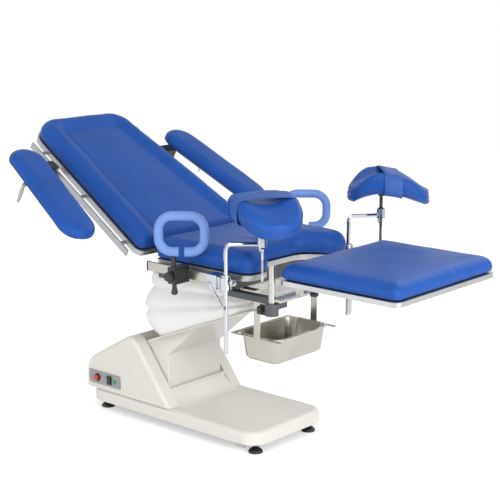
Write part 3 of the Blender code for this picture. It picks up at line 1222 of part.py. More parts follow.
def post_path(heading):
    """Centre line of a leg post: up, round a bend, and out along its heading."""
    points = [(0.0, 0.0, POST_BOTTOM)]
    for step in range(5):
        a = step * math.pi / 8
        run = POST_BEND * (1 - math.cos(a))
        points.append((run * math.cos(heading), run * math.sin(heading),
                       POST_TOP - POST_BEND + POST_BEND * math.sin(a)))
    end = POST_REACH - CUP_RADIUS * 0.5
    points.append((end * math.cos(heading), end * math.sin(heading), POST_TOP))
    return points


def knee_height(along, across_share):
    """Height of the knee saddle's upper face above its crown, at a place along and a share across."""
    if along > KNEE_CROWN_L:
        droop = KNEE_CALF_DROOP * ((along - KNEE_CROWN_L) / (KNEE_CALF_END - KNEE_CROWN_L)) ** 2
    else:
        droop = KNEE_THIGH_DROOP * ((KNEE_CROWN_L - along) / (KNEE_CROWN_L - KNEE_THIGH_END)) ** 2
    return KNEE_EAR_RISE * across_share ** 2 - droop


def knee_band(upper, lower, margin):
    """A saddle-shaped slab between two depths below the knee floor, with rounded ends in plan."""
    middle = (KNEE_CALF_END + KNEE_THIGH_END) / 2
    half_length = (KNEE_CALF_END - KNEE_THIGH_END) / 2
    rings = []
    for station in range(KNEE_STATIONS + 1):
        share = -math.cos(math.pi * station / KNEE_STATIONS)
        along = middle + share * half_length
        width = (KNEE_HALF_WIDTH + margin) * max(1 - abs(share) ** 3.5, 0.0) ** 0.45
        width = max(width, 0.36 * KNEE_HALF_WIDTH)
        top = []
        base = []
        for step in range(KNEE_CROSS_STEPS + 1):
            part = -1 + 2 * step / KNEE_CROSS_STEPS
            height = KNEE_FLOOR_Z + knee_height(along, part * width / KNEE_HALF_WIDTH)
            swell = (1 - part ** 6) ** 0.5
            depth = upper + (lower - upper) * (0.5 - 0.5 * swell)
            top.append((along, part * width, height - depth))
            base.append((along, part * width, height - lower + (lower - upper) * (0.5 - 0.5 * swell)))
        rings.append(top + base[-2:0:-1])
    return loft(rings)


def build_leg_support(seat, skins, name, side):
    """Rail clamp with lock lever, swivelling collar, sliding post, knee lock lever, shell and cushion."""
    post_y = side * POST_Y
    clamp = across(CLAMP_REAR, CLAMP_FRONT, RAIL_Y - 0.012, CLAMP_OUT, side, CLAMP_BOTTOM, CLAMP_TOP)
    arm = across(CLAMP_FRONT - 0.01, POST_X, POST_Y - 0.008, POST_Y + 0.008, side, CLAMP_BOTTOM + 0.004,
                 CLAMP_TOP - 0.004)
    socket = rod((POST_X, post_y, CLAMP_BOTTOM + 0.002), (POST_X, post_y, CLAMP_TOP - 0.002), SOCKET_RADIUS)
    stud_x = CLAMP_REAR + 0.012
    stud = rod((stud_x, side * (CLAMP_OUT - 0.004), CLAMP_LEVER_Z),
               (stud_x, side * (CLAMP_OUT + CLAMP_LEVER_THICKNESS + 2 * SLIDE_GAP), CLAMP_LEVER_Z),
               CLAMP_LEVER_PIN_RADIUS)
    bore = rod((POST_X, post_y, 0.5), (POST_X, post_y, 0.9), COLLAR_RADIUS + PIN_GAP)
    clamp = cut(joined(clamp, arm, socket, stud), bore,
                side_rail_slot((CLAMP_FRONT - CLAMP_REAR) / 2, (CLAMP_FRONT + CLAMP_REAR) / 2, side),
                across(RAIL_FRONT - 0.05, RAIL_FRONT + 0.05, RAIL_Y - 0.03, RAIL_Y + RAIL_THICKNESS / 2 + GAP, side,
                       RAIL_BOTTOM - GAP, RAIL_BOTTOM + RAIL_HEIGHT + GAP),
                across(CROSS_FRONT_X - SPACER_HALF_LENGTH - SLIDE_GAP, CROSS_FRONT_X + SPACER_HALF_LENGTH + SLIDE_GAP,
                       RAIL_Y - 0.03, RAIL_Y + SLIDE_GAP, side, CLAMP_BOTTOM - 0.02, SEAT_TRAY_BOTTOM + GAP))
    carry(clamp, f"leg_clamp_{name}", skins["chrome"], seat)

    lever_y = side * (CLAMP_OUT + SLIDE_GAP)
    lever_turn = pivot(f"leg_clamp_lever_{name}_axis", (stud_x, lever_y, CLAMP_LEVER_Z), None,
                       (0.0, CLAMP_LEVER_ANGLE, 0.0))
    lever_turn.parent = seat
    lever_turn.matrix_parent_inverse = seat.matrix_world.inverted()
    bpy.context.view_layer.update()
    half = CLAMP_LEVER_WIDTH / 2
    outline = rounded(((-half, -half, half * 0.9), (CLAMP_LEVER_LENGTH, -half * 0.6, half * 0.5),
                       (CLAMP_LEVER_LENGTH, half * 0.6, half * 0.5), (-half, half, half * 0.9)), steps=3)
    ys = sorted((0.0, side * CLAMP_LEVER_THICKNESS))
    lever = prism(outline, ys[0], ys[1], upright=True)
    lever = cut(lever, rod((0.0, -0.05, 0.0), (0.0, 0.05, 0.0), CLAMP_LEVER_PIN_RADIUS + PIN_GAP))
    carry(lever, f"leg_clamp_lever_{name}", skins["chrome"], lever_turn, local=True)

    swivel = pivot(f"leg_collar_{name}_axis", (POST_X, post_y, 0.0), None)
    swivel.parent = seat
    swivel.matrix_parent_inverse = seat.matrix_world.inverted()
    bpy.context.view_layer.update()
    flange_z = CLAMP_TOP + GAP
    collar = joined(rod((0.0, 0.0, COLLAR_BOTTOM), (0.0, 0.0, COLLAR_TOP), COLLAR_RADIUS),
                    rod((0.0, 0.0, flange_z), (0.0, 0.0, flange_z + COLLAR_FLANGE), COLLAR_FLANGE_RADIUS))
    collar = cut(collar, rod((0.0, 0.0, 0.5), (0.0, 0.0, 0.9), POST_RADIUS + PIN_GAP))
    carry(collar, f"leg_collar_{name}", skins["chrome"], swivel, local=True)

    heading = POST_HEADING[name]
    out = Vector((math.cos(heading), math.sin(heading), 0.0))
    slide = pivot(f"leg_post_{name}_axis", (0.0, 0.0, POST_BOTTOM), swivel)
    post = tube(post_path(heading), POST_RADIUS)
    end = out * POST_REACH
    cup = rod((end.x, end.y, CUP_BOTTOM), (end.x, end.y, CUP_TOP), CUP_RADIUS)
    cup = cut(cup, rod((end.x, end.y, BALL_Z - BALL_RADIUS - GAP), (end.x, end.y, CUP_TOP + 0.02), CUP_BORE_RADIUS))
    lug_at = end - out * (KNEE_LEVER_THICKNESS / 2 + SLIDE_GAP + 0.0035)
    lug = rod((lug_at.x, lug_at.y, CUP_BOTTOM + 0.004), (lug_at.x, lug_at.y, KNEE_LEVER_TOP - 0.006), 0.0035, steps=8)
    tip = end + out * (KNEE_LEVER_THICKNESS / 2 + 0.001)
    stud = rod((lug_at.x, lug_at.y, KNEE_LEVER_TOP), (tip.x, tip.y, KNEE_LEVER_TOP), KNEE_LEVER_PIN_RADIUS, steps=8)
    post = moved(joined(post, cup, lug, stud), Matrix.Translation((0.0, 0.0, -POST_BOTTOM)))
    carry(post, f"leg_post_{name}", skins["chrome"], slide, local=True)

    hang = pivot(f"knee_lever_{name}_axis", (end.x, end.y, KNEE_LEVER_TOP - POST_BOTTOM), slide, (0.0, 0.0, heading))
    half = KNEE_LEVER_WIDTH / 2
    eye = KNEE_LEVER_EYE
    outline = rounded(((-eye, eye, eye * 0.9), (-eye, -eye, 0.004), (-0.004, -0.03, 0.02),
                       (-half, -KNEE_LEVER_LENGTH * 0.75, 0.01), (-half * 0.6, -KNEE_LEVER_LENGTH, 0.004),
                       (half * 0.6, -KNEE_LEVER_LENGTH, 0.004), (half, -KNEE_LEVER_LENGTH * 0.75, 0.01),
                       (0.004, -0.03, 0.02), (eye, -eye, 0.004), (eye, eye, eye * 0.9)), steps=2)
    paddle = prism(outline, -KNEE_LEVER_THICKNESS / 2, KNEE_LEVER_THICKNESS / 2)
    moved(paddle, Matrix(((0, 0, 1, 0), (1, 0, 0, 0), (0, 1, 0, 0), (0, 0, 0, 1))))
    paddle = cut(paddle, rod((-0.05, 0.0, 0.0), (0.05, 0.0, 0.0), KNEE_LEVER_PIN_RADIUS + PIN_GAP, steps=8))
    carry(paddle, f"knee_lever_{name}", skins["chrome"], hang, local=True)

    knee = pivot(f"knee_{name}_axis", (end.x, end.y, BALL_Z - POST_BOTTOM), slide,
                 (0.0, 0.0, side * KNEE_HEADING[name]))
    settle = Matrix.Translation((0.0, 0.0, -BALL_Z))
    shell_top = KNEE_PAD_THICKNESS + 3 * GAP
    shell = knee_band(shell_top, shell_top + KNEE_SHELL_THICKNESS, KNEE_SHELL_MARGIN)
    under = KNEE_FLOOR_Z - shell_top - KNEE_SHELL_THICKNESS
    hub = rod((0.0, 0.0, under - KNEE_HUB_HEIGHT), (0.0, 0.0, under + KNEE_SHELL_THICKNESS * 0.4),
              KNEE_HUB_RADIUS * 0.65, KNEE_HUB_RADIUS)
    stem = rod((0.0, 0.0, BALL_Z), (0.0, 0.0, under - KNEE_HUB_HEIGHT / 2), KNEE_STEM_RADIUS)
    shell = joined(shell, hub, stem, ball((0.0, 0.0, BALL_Z), BALL_RADIUS))
    carry(moved(shell, settle), f"knee_shell_{name}", skins["black"], knee, local=True)
    pad = knee_band(0.0, KNEE_PAD_THICKNESS, 0.0)
    carry(moved(pad, settle), f"knee_pad_{name}", skins["vinyl"], knee, local=True)


# Leg section

def build_leg_section(seat, skins):
    """Swing arm on its pivot post, star knob, tray with its locating pin, and cushion."""
    swing = pivot("leg_section_axis", (LEG_PIVOT_X, LEG_PIVOT_Y, LEG_POST_BOTTOM), None)
    swing.parent = seat
    swing.matrix_parent_inverse = seat.matrix_world.inverted()
    bpy.context.view_layer.update()
    bar_top = LEG_BAR_BOTTOM + LEG_BAR_THICKNESS
    tray_top = LEG_TRAY_BOTTOM + LEG_TRAY_HEIGHT
    skin_bottom = tray_top - TRAY_WALL
    arm = rod((LEG_PIVOT_X, LEG_PIVOT_Y, LEG_POST_BOTTOM), (LEG_PIVOT_X, LEG_PIVOT_Y, LEG_POST_TOP), LEG_POST_RADIUS)
    bar_x = (LEG_PIVOT_X + LEG_UPRIGHT_X) / 2
    arm = joined(arm, block((bar_x - LEG_BAR_HALF_WIDTH, LEG_PIVOT_Y, LEG_BAR_BOTTOM),
                            (bar_x + LEG_BAR_HALF_WIDTH, LEG_BAR_END, bar_top)))
    for y in LEG_UPRIGHT_Y:
        arm = joined(arm, block((LEG_UPRIGHT_X - LEG_UPRIGHT_HALF, y - LEG_UPRIGHT_HALF, LEG_BAR_BOTTOM + 0.002),
                                (LEG_UPRIGHT_X + LEG_UPRIGHT_HALF, y + LEG_UPRIGHT_HALF, skin_bottom - GAP)))
    carry(arm, "leg_arm", skins["steel"], swing)

    corners = rectangle(LEG_REAR, LEG_FRONT, LEG_HALF_WIDTH, LEG_REAR_RADIUS, LEG_FRONT_RADIUS)
    tray = pan(corners, LEG_TRAY_BOTTOM, tray_top, TRAY_WALL)
    pin = rod((LEG_PIN_X, LEG_PIN_Y, LEG_PIN_BOTTOM + LEG_PIN_TIP), (LEG_PIN_X, LEG_PIN_Y, tray_top - TRAY_WALL / 2),
              LEG_PIN_RADIUS)
    tip = rod((LEG_PIN_X, LEG_PIN_Y, LEG_PIN_BOTTOM), (LEG_PIN_X, LEG_PIN_Y, LEG_PIN_BOTTOM + LEG_PIN_TIP * 1.2),
              LEG_PIN_RADIUS * 0.25, LEG_PIN_RADIUS * 0.98)
    carry(joined(tray, pin, tip), "leg_tray", skins["trim"], swing)

    levels = [(0.010, tray_top + GAP), (0.0, tray_top + 0.18 * LEG_PAD_HEIGHT), (0.002, tray_top + 0.42 * LEG_PAD_HEIGHT),
              (0.012, tray_top + 0.68 * LEG_PAD_HEIGHT), (0.035, tray_top + 0.87 * LEG_PAD_HEIGHT),
              (0.080, tray_top + 0.96 * LEG_PAD_HEIGHT), (0.140, tray_top + LEG_PAD_HEIGHT)]
    carry(stacked(corners, levels), "leg_pad", skins["vinyl"], swing)

    boss_face = LEG_PIVOT_X - LEG_BOSS_RADIUS - GAP
    knob = pivot("leg_knob_axis", (boss_face, LEG_PIVOT_Y, LEG_KNOB_Z), None)
    knob.parent = seat
    knob.matrix_parent_inverse = seat.matrix_world.inverted()
    bpy.context.view_layer.update()
    head = rod((-LEG_KNOB_SHANK - LEG_KNOB_LENGTH, 0.0, 0.0), (-LEG_KNOB_SHANK, 0.0, 0.0), LEG_KNOB_RADIUS * 0.72)
    for lobe in range(LEG_KNOB_LOBES):
        a = 2 * math.pi * lobe / LEG_KNOB_LOBES
        y = LEG_KNOB_RADIUS * 0.62 * math.cos(a)
        z = LEG_KNOB_RADIUS * 0.62 * math.sin(a)
        head = joined(head, rod((-LEG_KNOB_SHANK - LEG_KNOB_LENGTH * 0.9, y, z),
                                (-LEG_KNOB_SHANK - LEG_KNOB_LENGTH * 0.1, y, z), LEG_KNOB_RADIUS * 0.38, steps=8))
    shank = rod((-LEG_KNOB_SHANK - LEG_KNOB_LENGTH / 2, 0.0, 0.0), (0.0, 0.0, 0.0), LEG_KNOB_SHANK_RADIUS, steps=8)
    carry(joined(head, shank), "leg_knob", skins["black"], knob, local=True)


def centre_over_floor(root):
    """Shift the table so that its box is centred over the origin."""
    bpy.context.view_layer.update()
    points = []
    for piece in bpy.data.collections[OBJECT_NAME].objects:
        if piece.type == "MESH":
            points += [piece.matrix_world @ vertex.co for vertex in piece.data.vertices]
    for axis in (0, 1):
        values = [point[axis] for point in points]
        root.location[axis] = -(min(values) + max(values)) / 2
    bpy.context.view_layer.update()


def main():
    """Build the whole table."""
    clear_scene()
    new_collection(OBJECT_NAME)
    skins = {
        "abs": finish("white_abs", "E9E7E2", 0.30),
        "white": finish("white_nylon", "E4E4E0", 0.45),
        "bellows": finish("white_bellows", "E6E5E2", 0.50),
        "black": finish("black_plastic", "17181A", 0.45),
        "red": finish("red_plastic", "C8281E", 0.35),
        "panel": finish("grey_panel", "A9ADB0", 0.40),
        "dark_steel": finish("dark_painted_steel", "3A3C3F", 0.45, 0.3),
        "steel": finish("stainless_steel", "C6C5C0", 0.28, 1.0),
        "chrome": finish("chrome", "DADBDC", 0.10, 1.0),
        "trim": finish("silver_trim", "C9C9C7", 0.35, 0.8),
        "vinyl": finish("blue_vinyl", "2F5CB8", 0.42),
        "foam": finish("blue_foam", "6E9BDD", 0.60),
    }
    root = pivot("table_origin", (0.0, 0.0, 0.0))
    build_base(root, skins)
    build_housing(root, skins)
    column = pivot("lift_axis", ((COLUMN_REAR + COLUMN_FRONT) / 2, 0.0, COLUMN_BOTTOM), root)
    build_column(column, skins)
    build_bellows(column, skins)
    seat = pivot("seat_axis", (TILT_X, 0.0, TILT_Z), None)
    seat.parent = column
    seat.matrix_parent_inverse = column.matrix_world.inverted()
    bpy.context.view_layer.update()
    build_seat(seat, skins)
    build_basin(seat, skins)
    back = build_back(seat, skins)
    build_drive_rod(seat, skins)
    for name, side in SIDES:
        build_arm(back, skins, name, side)
        build_grip(seat, skins, name, side)
        build_leg_support(seat, skins, name, side)
    build_leg_section(seat, skins)
    centre_over_floor(root)


main()
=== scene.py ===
"""Looks of a powered gynaecology exam table: upholstery, covers, plated rods, steel pan and small fittings.

Sizes are in metres. Pieces are laid out from the front edge of the base at floor level, with +X towards the
foot end and -Y the near side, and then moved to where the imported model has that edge.
"""
from __future__ import annotations

import json
import logging
import math
from dataclasses import dataclass, field
from enum import Enum
from functools import partial
from typing import Any, Callable, NamedTuple, Sequence

import bmesh
import bpy
import numpy as np
from mathutils import Matrix, Vector, noise

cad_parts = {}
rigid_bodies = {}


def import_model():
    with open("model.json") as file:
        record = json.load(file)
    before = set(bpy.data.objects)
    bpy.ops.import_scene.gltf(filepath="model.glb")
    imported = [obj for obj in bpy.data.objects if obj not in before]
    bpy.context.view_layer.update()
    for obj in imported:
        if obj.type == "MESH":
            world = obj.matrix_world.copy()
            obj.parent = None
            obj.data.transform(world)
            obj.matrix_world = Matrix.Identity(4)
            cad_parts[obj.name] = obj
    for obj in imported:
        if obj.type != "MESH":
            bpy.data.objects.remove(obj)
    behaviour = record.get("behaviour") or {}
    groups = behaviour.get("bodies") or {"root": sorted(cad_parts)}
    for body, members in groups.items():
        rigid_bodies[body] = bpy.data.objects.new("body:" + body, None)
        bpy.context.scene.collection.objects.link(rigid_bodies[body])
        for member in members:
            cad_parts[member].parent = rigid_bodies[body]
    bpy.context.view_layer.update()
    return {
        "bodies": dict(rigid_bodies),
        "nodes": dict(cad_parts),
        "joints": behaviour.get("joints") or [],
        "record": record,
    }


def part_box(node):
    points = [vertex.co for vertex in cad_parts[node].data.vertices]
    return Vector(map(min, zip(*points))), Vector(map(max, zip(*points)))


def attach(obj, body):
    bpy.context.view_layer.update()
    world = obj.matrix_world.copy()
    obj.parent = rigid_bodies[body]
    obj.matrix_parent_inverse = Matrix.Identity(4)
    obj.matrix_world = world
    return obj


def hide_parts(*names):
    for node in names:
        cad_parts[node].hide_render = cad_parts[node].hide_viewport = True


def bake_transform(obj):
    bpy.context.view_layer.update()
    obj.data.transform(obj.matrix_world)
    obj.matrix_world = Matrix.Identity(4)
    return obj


log = logging.getLogger("exam_table")

Point = tuple[float, float, float]
# A corner of a plan: x, y and its radius.
Corner = tuple[float, float, float]
# A level of a block: how far its outline is drawn in, and its height.
Level = tuple[float, float]
# A turned outline: radius and distance along the axis, from one end to the other.
Profile = tuple[tuple[float, float], ...]
# Height added to each point of a pad, from the points' places.
Lift = Callable[[np.ndarray], np.ndarray]

MM = 0.001
UP: Point = (0.0, 0.0, 1.0)
AHEAD: Point = (1.0, 0.0, 0.0)


class Side(Enum):
    """Which side of the table a piece is on, with the sign of its Y."""

    NEAR = -1
    FAR = 1

    @property
    def label(self) -> str:
        """Name used in piece names."""
        return self.name.lower()

    def pick(self, near: float, far: float) -> float:
        """Choose between the near side's value and the far side's."""
        return near if self is Side.NEAR else far


# Finishes

# Where most of a noise pattern lies, and how many finer layers it has
TONE_SPREAD = (0.3, 0.7)
TONE_DETAIL = 3.0
GRAIN_SPREAD = (0.2, 0.8)
GRAIN_DETAIL = 2.0
LEAST_ROUGHNESS = 0.02


def linear(colour: str) -> tuple[float, float, float, float]:
    """Turn an sRGB hex colour to linear RGBA.

    Args:
        colour: six hex digits.

    Returns:
        Linear red, green, blue and an alpha of one.
    """
    channels = [int(colour[i:i + 2], 16) / 255 for i in (0, 2, 4)]
    values = [c / 12.92 if c <= 0.04045 else ((c + 0.055) / 1.055) ** 2.4 for c in channels]
    return (values[0], values[1], values[2], 1.0)


def add_node(tree: bpy.types.NodeTree, kind: str, links: dict[str | int, Any] | None = None,
             **settings: Any) -> Any:
    """Add a node, set its attributes or inputs, and link its inputs.

    Args:
        tree: node tree to add to.
        kind: Blender's node type.
        links: input name or number to the output socket that feeds it.
        settings: attribute or input values; an input's spaces are written as underscores.

    Returns:
        The new node.
    """
    node = tree.nodes.new(kind)
    for name, value in settings.items():
        if hasattr(node, name):
            setattr(node, name, value)
        else:
            node.inputs[name.replace("_", " ")].default_value = value
    for name, socket in (links or {}).items():
        tree.links.new(socket, node.inputs[name])
    return node


@dataclass(frozen=True)
class Finish:
    """One real material: its colour, gloss, and the grain and drift that the eye picks up on it."""

    name: str
    slot: str
    colour: str
    roughness: float
    metallic: float = 0.0
    coat: float = 0.0
    coat_roughness: float = 0.12
    sheen: float = 0.0
    sheen_roughness: float = 0.45
    specular: float = 0.5
    grain_mm: float = 2.0
    grain_depth_mm: float = 0.02
    drift: float = 0.06
    drift_mm: float = 120.0
    gloss_drift: float = 0.08
    stretch: tuple[float, float, float] = (1.0, 1.0, 1.0)
    cellular: bool = False

    def material(self) -> bpy.types.Material:
        """Build the finish, or find it if it is built already.

        Returns:
            A material whose colour, roughness and bump come from object-space patterns.
        """
        if self.name in bpy.data.materials:
            return bpy.data.materials[self.name]
        material = bpy.data.materials.new(self.name)
        material.use_nodes = True
        tree = material.node_tree
        place = add_node(tree, "ShaderNodeTexCoord").outputs["Object"]
        slow = add_node(tree, "ShaderNodeTexNoise", {"Vector": place}, Scale=1.0 / (self.drift_mm * MM),
                        Detail=TONE_DETAIL)
        tone = add_node(tree, "ShaderNodeMapRange", {"Value": slow.outputs["Fac"]}, From_Min=TONE_SPREAD[0],
                        From_Max=TONE_SPREAD[1], To_Min=1.0 - self.drift, To_Max=1.0 + self.drift)
        base = add_node(tree, "ShaderNodeMix", {"B": tone.outputs["Result"]}, data_type="RGBA",
                        blend_type="MULTIPLY", Factor=1.0, A=linear(self.colour))
        height = self.grain(tree, place)
        smoothest = max(self.roughness - self.gloss_drift, LEAST_ROUGHNESS)
        roughest = min(self.roughness + self.gloss_drift, 1.0)
        gloss = add_node(tree, "ShaderNodeMapRange", {"Value": height}, From_Min=GRAIN_SPREAD[0],
                         From_Max=GRAIN_SPREAD[1], To_Min=smoothest, To_Max=roughest)
        bump = add_node(tree, "ShaderNodeBump", {"Height": height}, Strength=1.0,
                        Distance=self.grain_depth_mm * MM)
        shader = tree.nodes["Principled BSDF"]
        constants = {"Metallic": self.metallic, "Specular IOR Level": self.specular, "Coat Weight": self.coat,
                     "Coat Roughness": self.coat_roughness, "Sheen Weight": self.sheen,
                     "Sheen Roughness": self.sheen_roughness}
        for name, value in constants.items():
            shader.inputs[name].default_value = value
        tree.links.new(base.outputs["Result"], shader.inputs["Base Color"])
        tree.links.new(gloss.outputs["Result"], shader.inputs["Roughness"])
        tree.links.new(bump.outputs["Normal"], shader.inputs["Normal"])
        return material

    def grain(self, tree: bpy.types.NodeTree, place: bpy.types.NodeSocket) -> bpy.types.NodeSocket:
        """Add the fine pattern that the gloss and the bump follow.

        Args:
            tree: the material's node tree.
            place: object-space coordinates.

        Returns:
            Height of the pattern.
        """
        spread = add_node(tree, "ShaderNodeMapping", {"Vector": place}, Scale=self.stretch).outputs["Vector"]
        scale = 1.0 / (self.grain_mm * MM)
        if self.cellular:
            cells = add_node(tree, "ShaderNodeTexVoronoi", {"Vector": spread}, Scale=scale, feature="F1")
            return cells.outputs["Distance"]
        cloud = add_node(tree, "ShaderNodeTexNoise", {"Vector": spread}, Scale=scale, Detail=GRAIN_DETAIL)
        return cloud.outputs["Fac"]


# Calendered PVC on foam: a satin hide-like pebble, drawn at 2.6 mm, coarser than life, so that it shows.
VINYL = Finish("calendered_pvc_blue", "blue_vinyl", "2050A0", 0.40, specular=0.14, grain_mm=2.6,
               grain_depth_mm=0.10, drift=0.07, drift_mm=160.0, gloss_drift=0.06, cellular=True)
# The welt is the same hide wrapped on a cord, coloured a little darker as painted shade along the seam line.
WELT = Finish("calendered_pvc_welt", "blue_vinyl", "1D478A", 0.42, grain_mm=1.8, grain_depth_mm=0.05)
# Woven polyester strap: dull, with ribs drawn 2.2 mm wide, coarser than life, so that they show.
STRAP = Finish("woven_strap_blue", "blue_vinyl", "23529C", 0.58, grain_mm=2.2, grain_depth_mm=0.25,
               stretch=(1.0, 1.0, 0.35))
# Nitrile foam sleeve: a paler blue, with a fine open skin and little gloss.
FOAM = Finish("nitrile_foam_blue", "blue_foam", "6A8CCD", 0.48, sheen=0.1, grain_mm=1.6, grain_depth_mm=0.12,
              cellular=True, gloss_drift=0.05)
# Vacuum-formed ABS: clean and satin, with a faint orange peel drawn at 4 mm so that it shows close up.
ABS = Finish("formed_abs_white", "white_abs", "D9D6CF", 0.36, coat=0.1, grain_mm=4.0, grain_depth_mm=0.008,
             drift=0.006, drift_mm=400.0, gloss_drift=0.02)
# Coated bellows cloth: white, softer than the covers.
BELLOWS = Finish("coated_bellows_cloth", "white_bellows", "E6E5E4", 0.50, grain_mm=2.4, grain_depth_mm=0.05,
                 drift=0.02, drift_mm=120.0)
# Moulded nylon: near black with a spark-eroded mould texture.
NYLON = Finish("moulded_nylon_black", "black_plastic", "1A1B1D", 0.46, grain_mm=1.2, grain_depth_mm=0.06,
               drift=0.12, drift_mm=40.0)
# The casters are moulded nylon too, off-white and a little smoother.
WHEEL = Finish("moulded_nylon_white", "white_nylon", "DEDDD8", 0.45, grain_mm=1.5, grain_depth_mm=0.04)
# Powder coat: dark grey with its usual fine ripple.
POWDER = Finish("powder_coat_graphite", "dark_steel", "4A4C4F", 0.48, metallic=0.2, grain_mm=1.6,
                grain_depth_mm=0.05)
# Bright chromium plate on tube: a hard mirror with faint polishing haze.
CHROME = Finish("chromium_plate", "chrome", "B4B8BD", 0.09, metallic=1.0, grain_mm=9.0, grain_depth_mm=0.01,
                drift=0.03, gloss_drift=0.04)
# Brushed stainless sheet: hairlines along X, drawn 0.9 mm apart so that they show.
STAINLESS = Finish("brushed_stainless", "stainless", "B2AFA8", 0.22, metallic=1.0, grain_mm=0.9,
                   grain_depth_mm=0.003, stretch=(0.03, 1.0, 1.0), drift=0.05, gloss_drift=0.05)
# Satin anodised trim: pale silver, soft reflections.
TRIM = Finish("satin_anodised_trim", "silver_trim", "AEAFB0", 0.33, metallic=0.9, grain_mm=1.1,
              grain_depth_mm=0.01, stretch=(0.05, 1.0, 1.0), gloss_drift=0.05)
# Painted steel plate: an even mid grey with a trace of metal in it.
PANEL = Finish("painted_panel_grey", "grey_panel", "8F9396", 0.40, metallic=0.3, grain_mm=1.0,
               grain_depth_mm=0.02)
# Moulded polycarbonate: a strong red under a hard gloss.
RED = Finish("moulded_polycarbonate_red", "red_plastic", "C4241B", 0.24, coat=0.4, grain_mm=6.0,
             grain_depth_mm=0.01)
# The lamp's lens is polycarbonate as well, in green.
GREEN = Finish("moulded_polycarbonate_green", "black_plastic", "1F8A4C", 0.22, coat=0.4, grain_mm=6.0,
               grain_depth_mm=0.01)

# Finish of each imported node, by the start of its name; the longest start that fits is taken
NODE_FINISHES: dict[str, Finish] = {
    "base_cover": ABS, "rear_housing": ABS, "column_cover": ABS, "lift_sleeve": ABS, "bellows": BELLOWS,
    "base_chassis": POWDER, "lift_tube": POWDER, "seat_frame": POWDER, "arm_plate": POWDER, "caster": WHEEL,
    "foot": NYLON, "power_switch": NYLON, "arm_clamp": NYLON, "handle_clamp": NYLON, "handle_knob": NYLON,
    "leg_knob": NYLON, "knee_shell": NYLON, "stop_button": RED, "control_panel": PANEL, "tilt_rod": CHROME,
    "back_rod": CHROME, "arm_lever": CHROME, "leg_clamp": CHROME, "leg_collar": CHROME, "leg_post": CHROME,
    "knee_lever_near": CHROME, "knee_lever_far": NYLON, "basin": STAINLESS, "basin_hanger": STAINLESS,
    "seat_rail": STAINLESS, "leg_arm": STAINLESS, "seat_tray": TRIM, "leg_tray": TRIM, "back_frame": TRIM,
}

# Edge rounding of the large moulded covers, of other moulded covers, and of everything else
MOULDED_EDGES: dict[str, float] = {"rear_housing": 0.010, "column_cover": 0.006, "base_cover": 0.005}
MOULDED_EDGE = 0.003
PLAIN_EDGE = 0.0008
MOULDED_EDGE_STEPS = 3
PLAIN_EDGE_STEPS = 2
EDGE_ANGLE = 38.0
NODE_WELD = 0.00001


# Mesh helpers

# Smallest radius of an inset corner, and of a turned tip
LEAST_ARC = 0.0005
LEAST_TIP = 0.00005


@dataclass
class Bench:
    """Where finished pieces are put: the table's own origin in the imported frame, and what was made."""

    origin: Vector
    made: list[str] = field(default_factory=list)

    def put(self, shape: bpy.types.Object, name: str, finish: Finish, body: str, frame: Matrix | None = None,
            replaces: str = "") -> None:
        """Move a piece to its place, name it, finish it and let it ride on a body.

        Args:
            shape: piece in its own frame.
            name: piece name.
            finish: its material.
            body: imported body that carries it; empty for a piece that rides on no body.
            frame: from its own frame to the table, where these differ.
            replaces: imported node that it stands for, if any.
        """
        shape.name = name
        shape.data.name = name
        if frame is not None:
            shape.data.transform(frame)
        shape.data.transform(Matrix.Translation(self.origin))
        shape.data.materials.clear()
        shape.data.materials.append(finish.material())
        if replaces:
            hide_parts(replaces)
        if body:
            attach(shape, body)
        self.made.append(name)
        log.info("made %s on %s", name, body or "two bodies")


def shape_of(bm: bmesh.types.BMesh, smooth_angle: float = 40.0) -> bpy.types.Object:
    """Turn a bmesh into a smooth-shaded object with outward faces.

    Args:
        bm: mesh to take; it is freed.
        smooth_angle: edges sharper than this stay crisp, in degrees.

    Returns:
        The new object, linked to the scene.
    """
    bmesh.ops.recalc_face_normals(bm, faces=bm.faces)
    mesh = bpy.data.meshes.new("shape")
    bm.to_mesh(mesh)
    bm.free()
    mesh.shade_smooth()
    mesh.set_sharp_from_angle(angle=math.radians(smooth_angle))
    shape = bpy.data.objects.new("shape", mesh)
    bpy.context.scene.collection.objects.link(shape)
    return shape


def baked(shape: bpy.types.Object) -> bpy.types.Object:
    """Apply a piece's modifiers, or turn a curve to a mesh.

    Args:
        shape: piece to take; it is removed.

    Returns:
        A plain mesh object in its place.
    """
    bpy.context.view_layer.update()
    graph = bpy.context.evaluated_depsgraph_get()
    mesh = bpy.data.meshes.new_from_object(shape.evaluated_get(graph))
    solid = bpy.data.objects.new("shape", mesh)
    bpy.context.scene.collection.objects.link(solid)
    bpy.data.objects.remove(shape)
    mesh.shade_smooth()
    return solid


def places_of(mesh: bpy.types.Mesh) -> np.ndarray:
    """Read a mesh's points.

    Args:
        mesh: mesh to read.

    Returns:
        Places, one row each.
    """
    places = np.empty(len(mesh.vertices) * 3)
    mesh.vertices.foreach_get("co", places)
    return places.reshape(-1, 3)


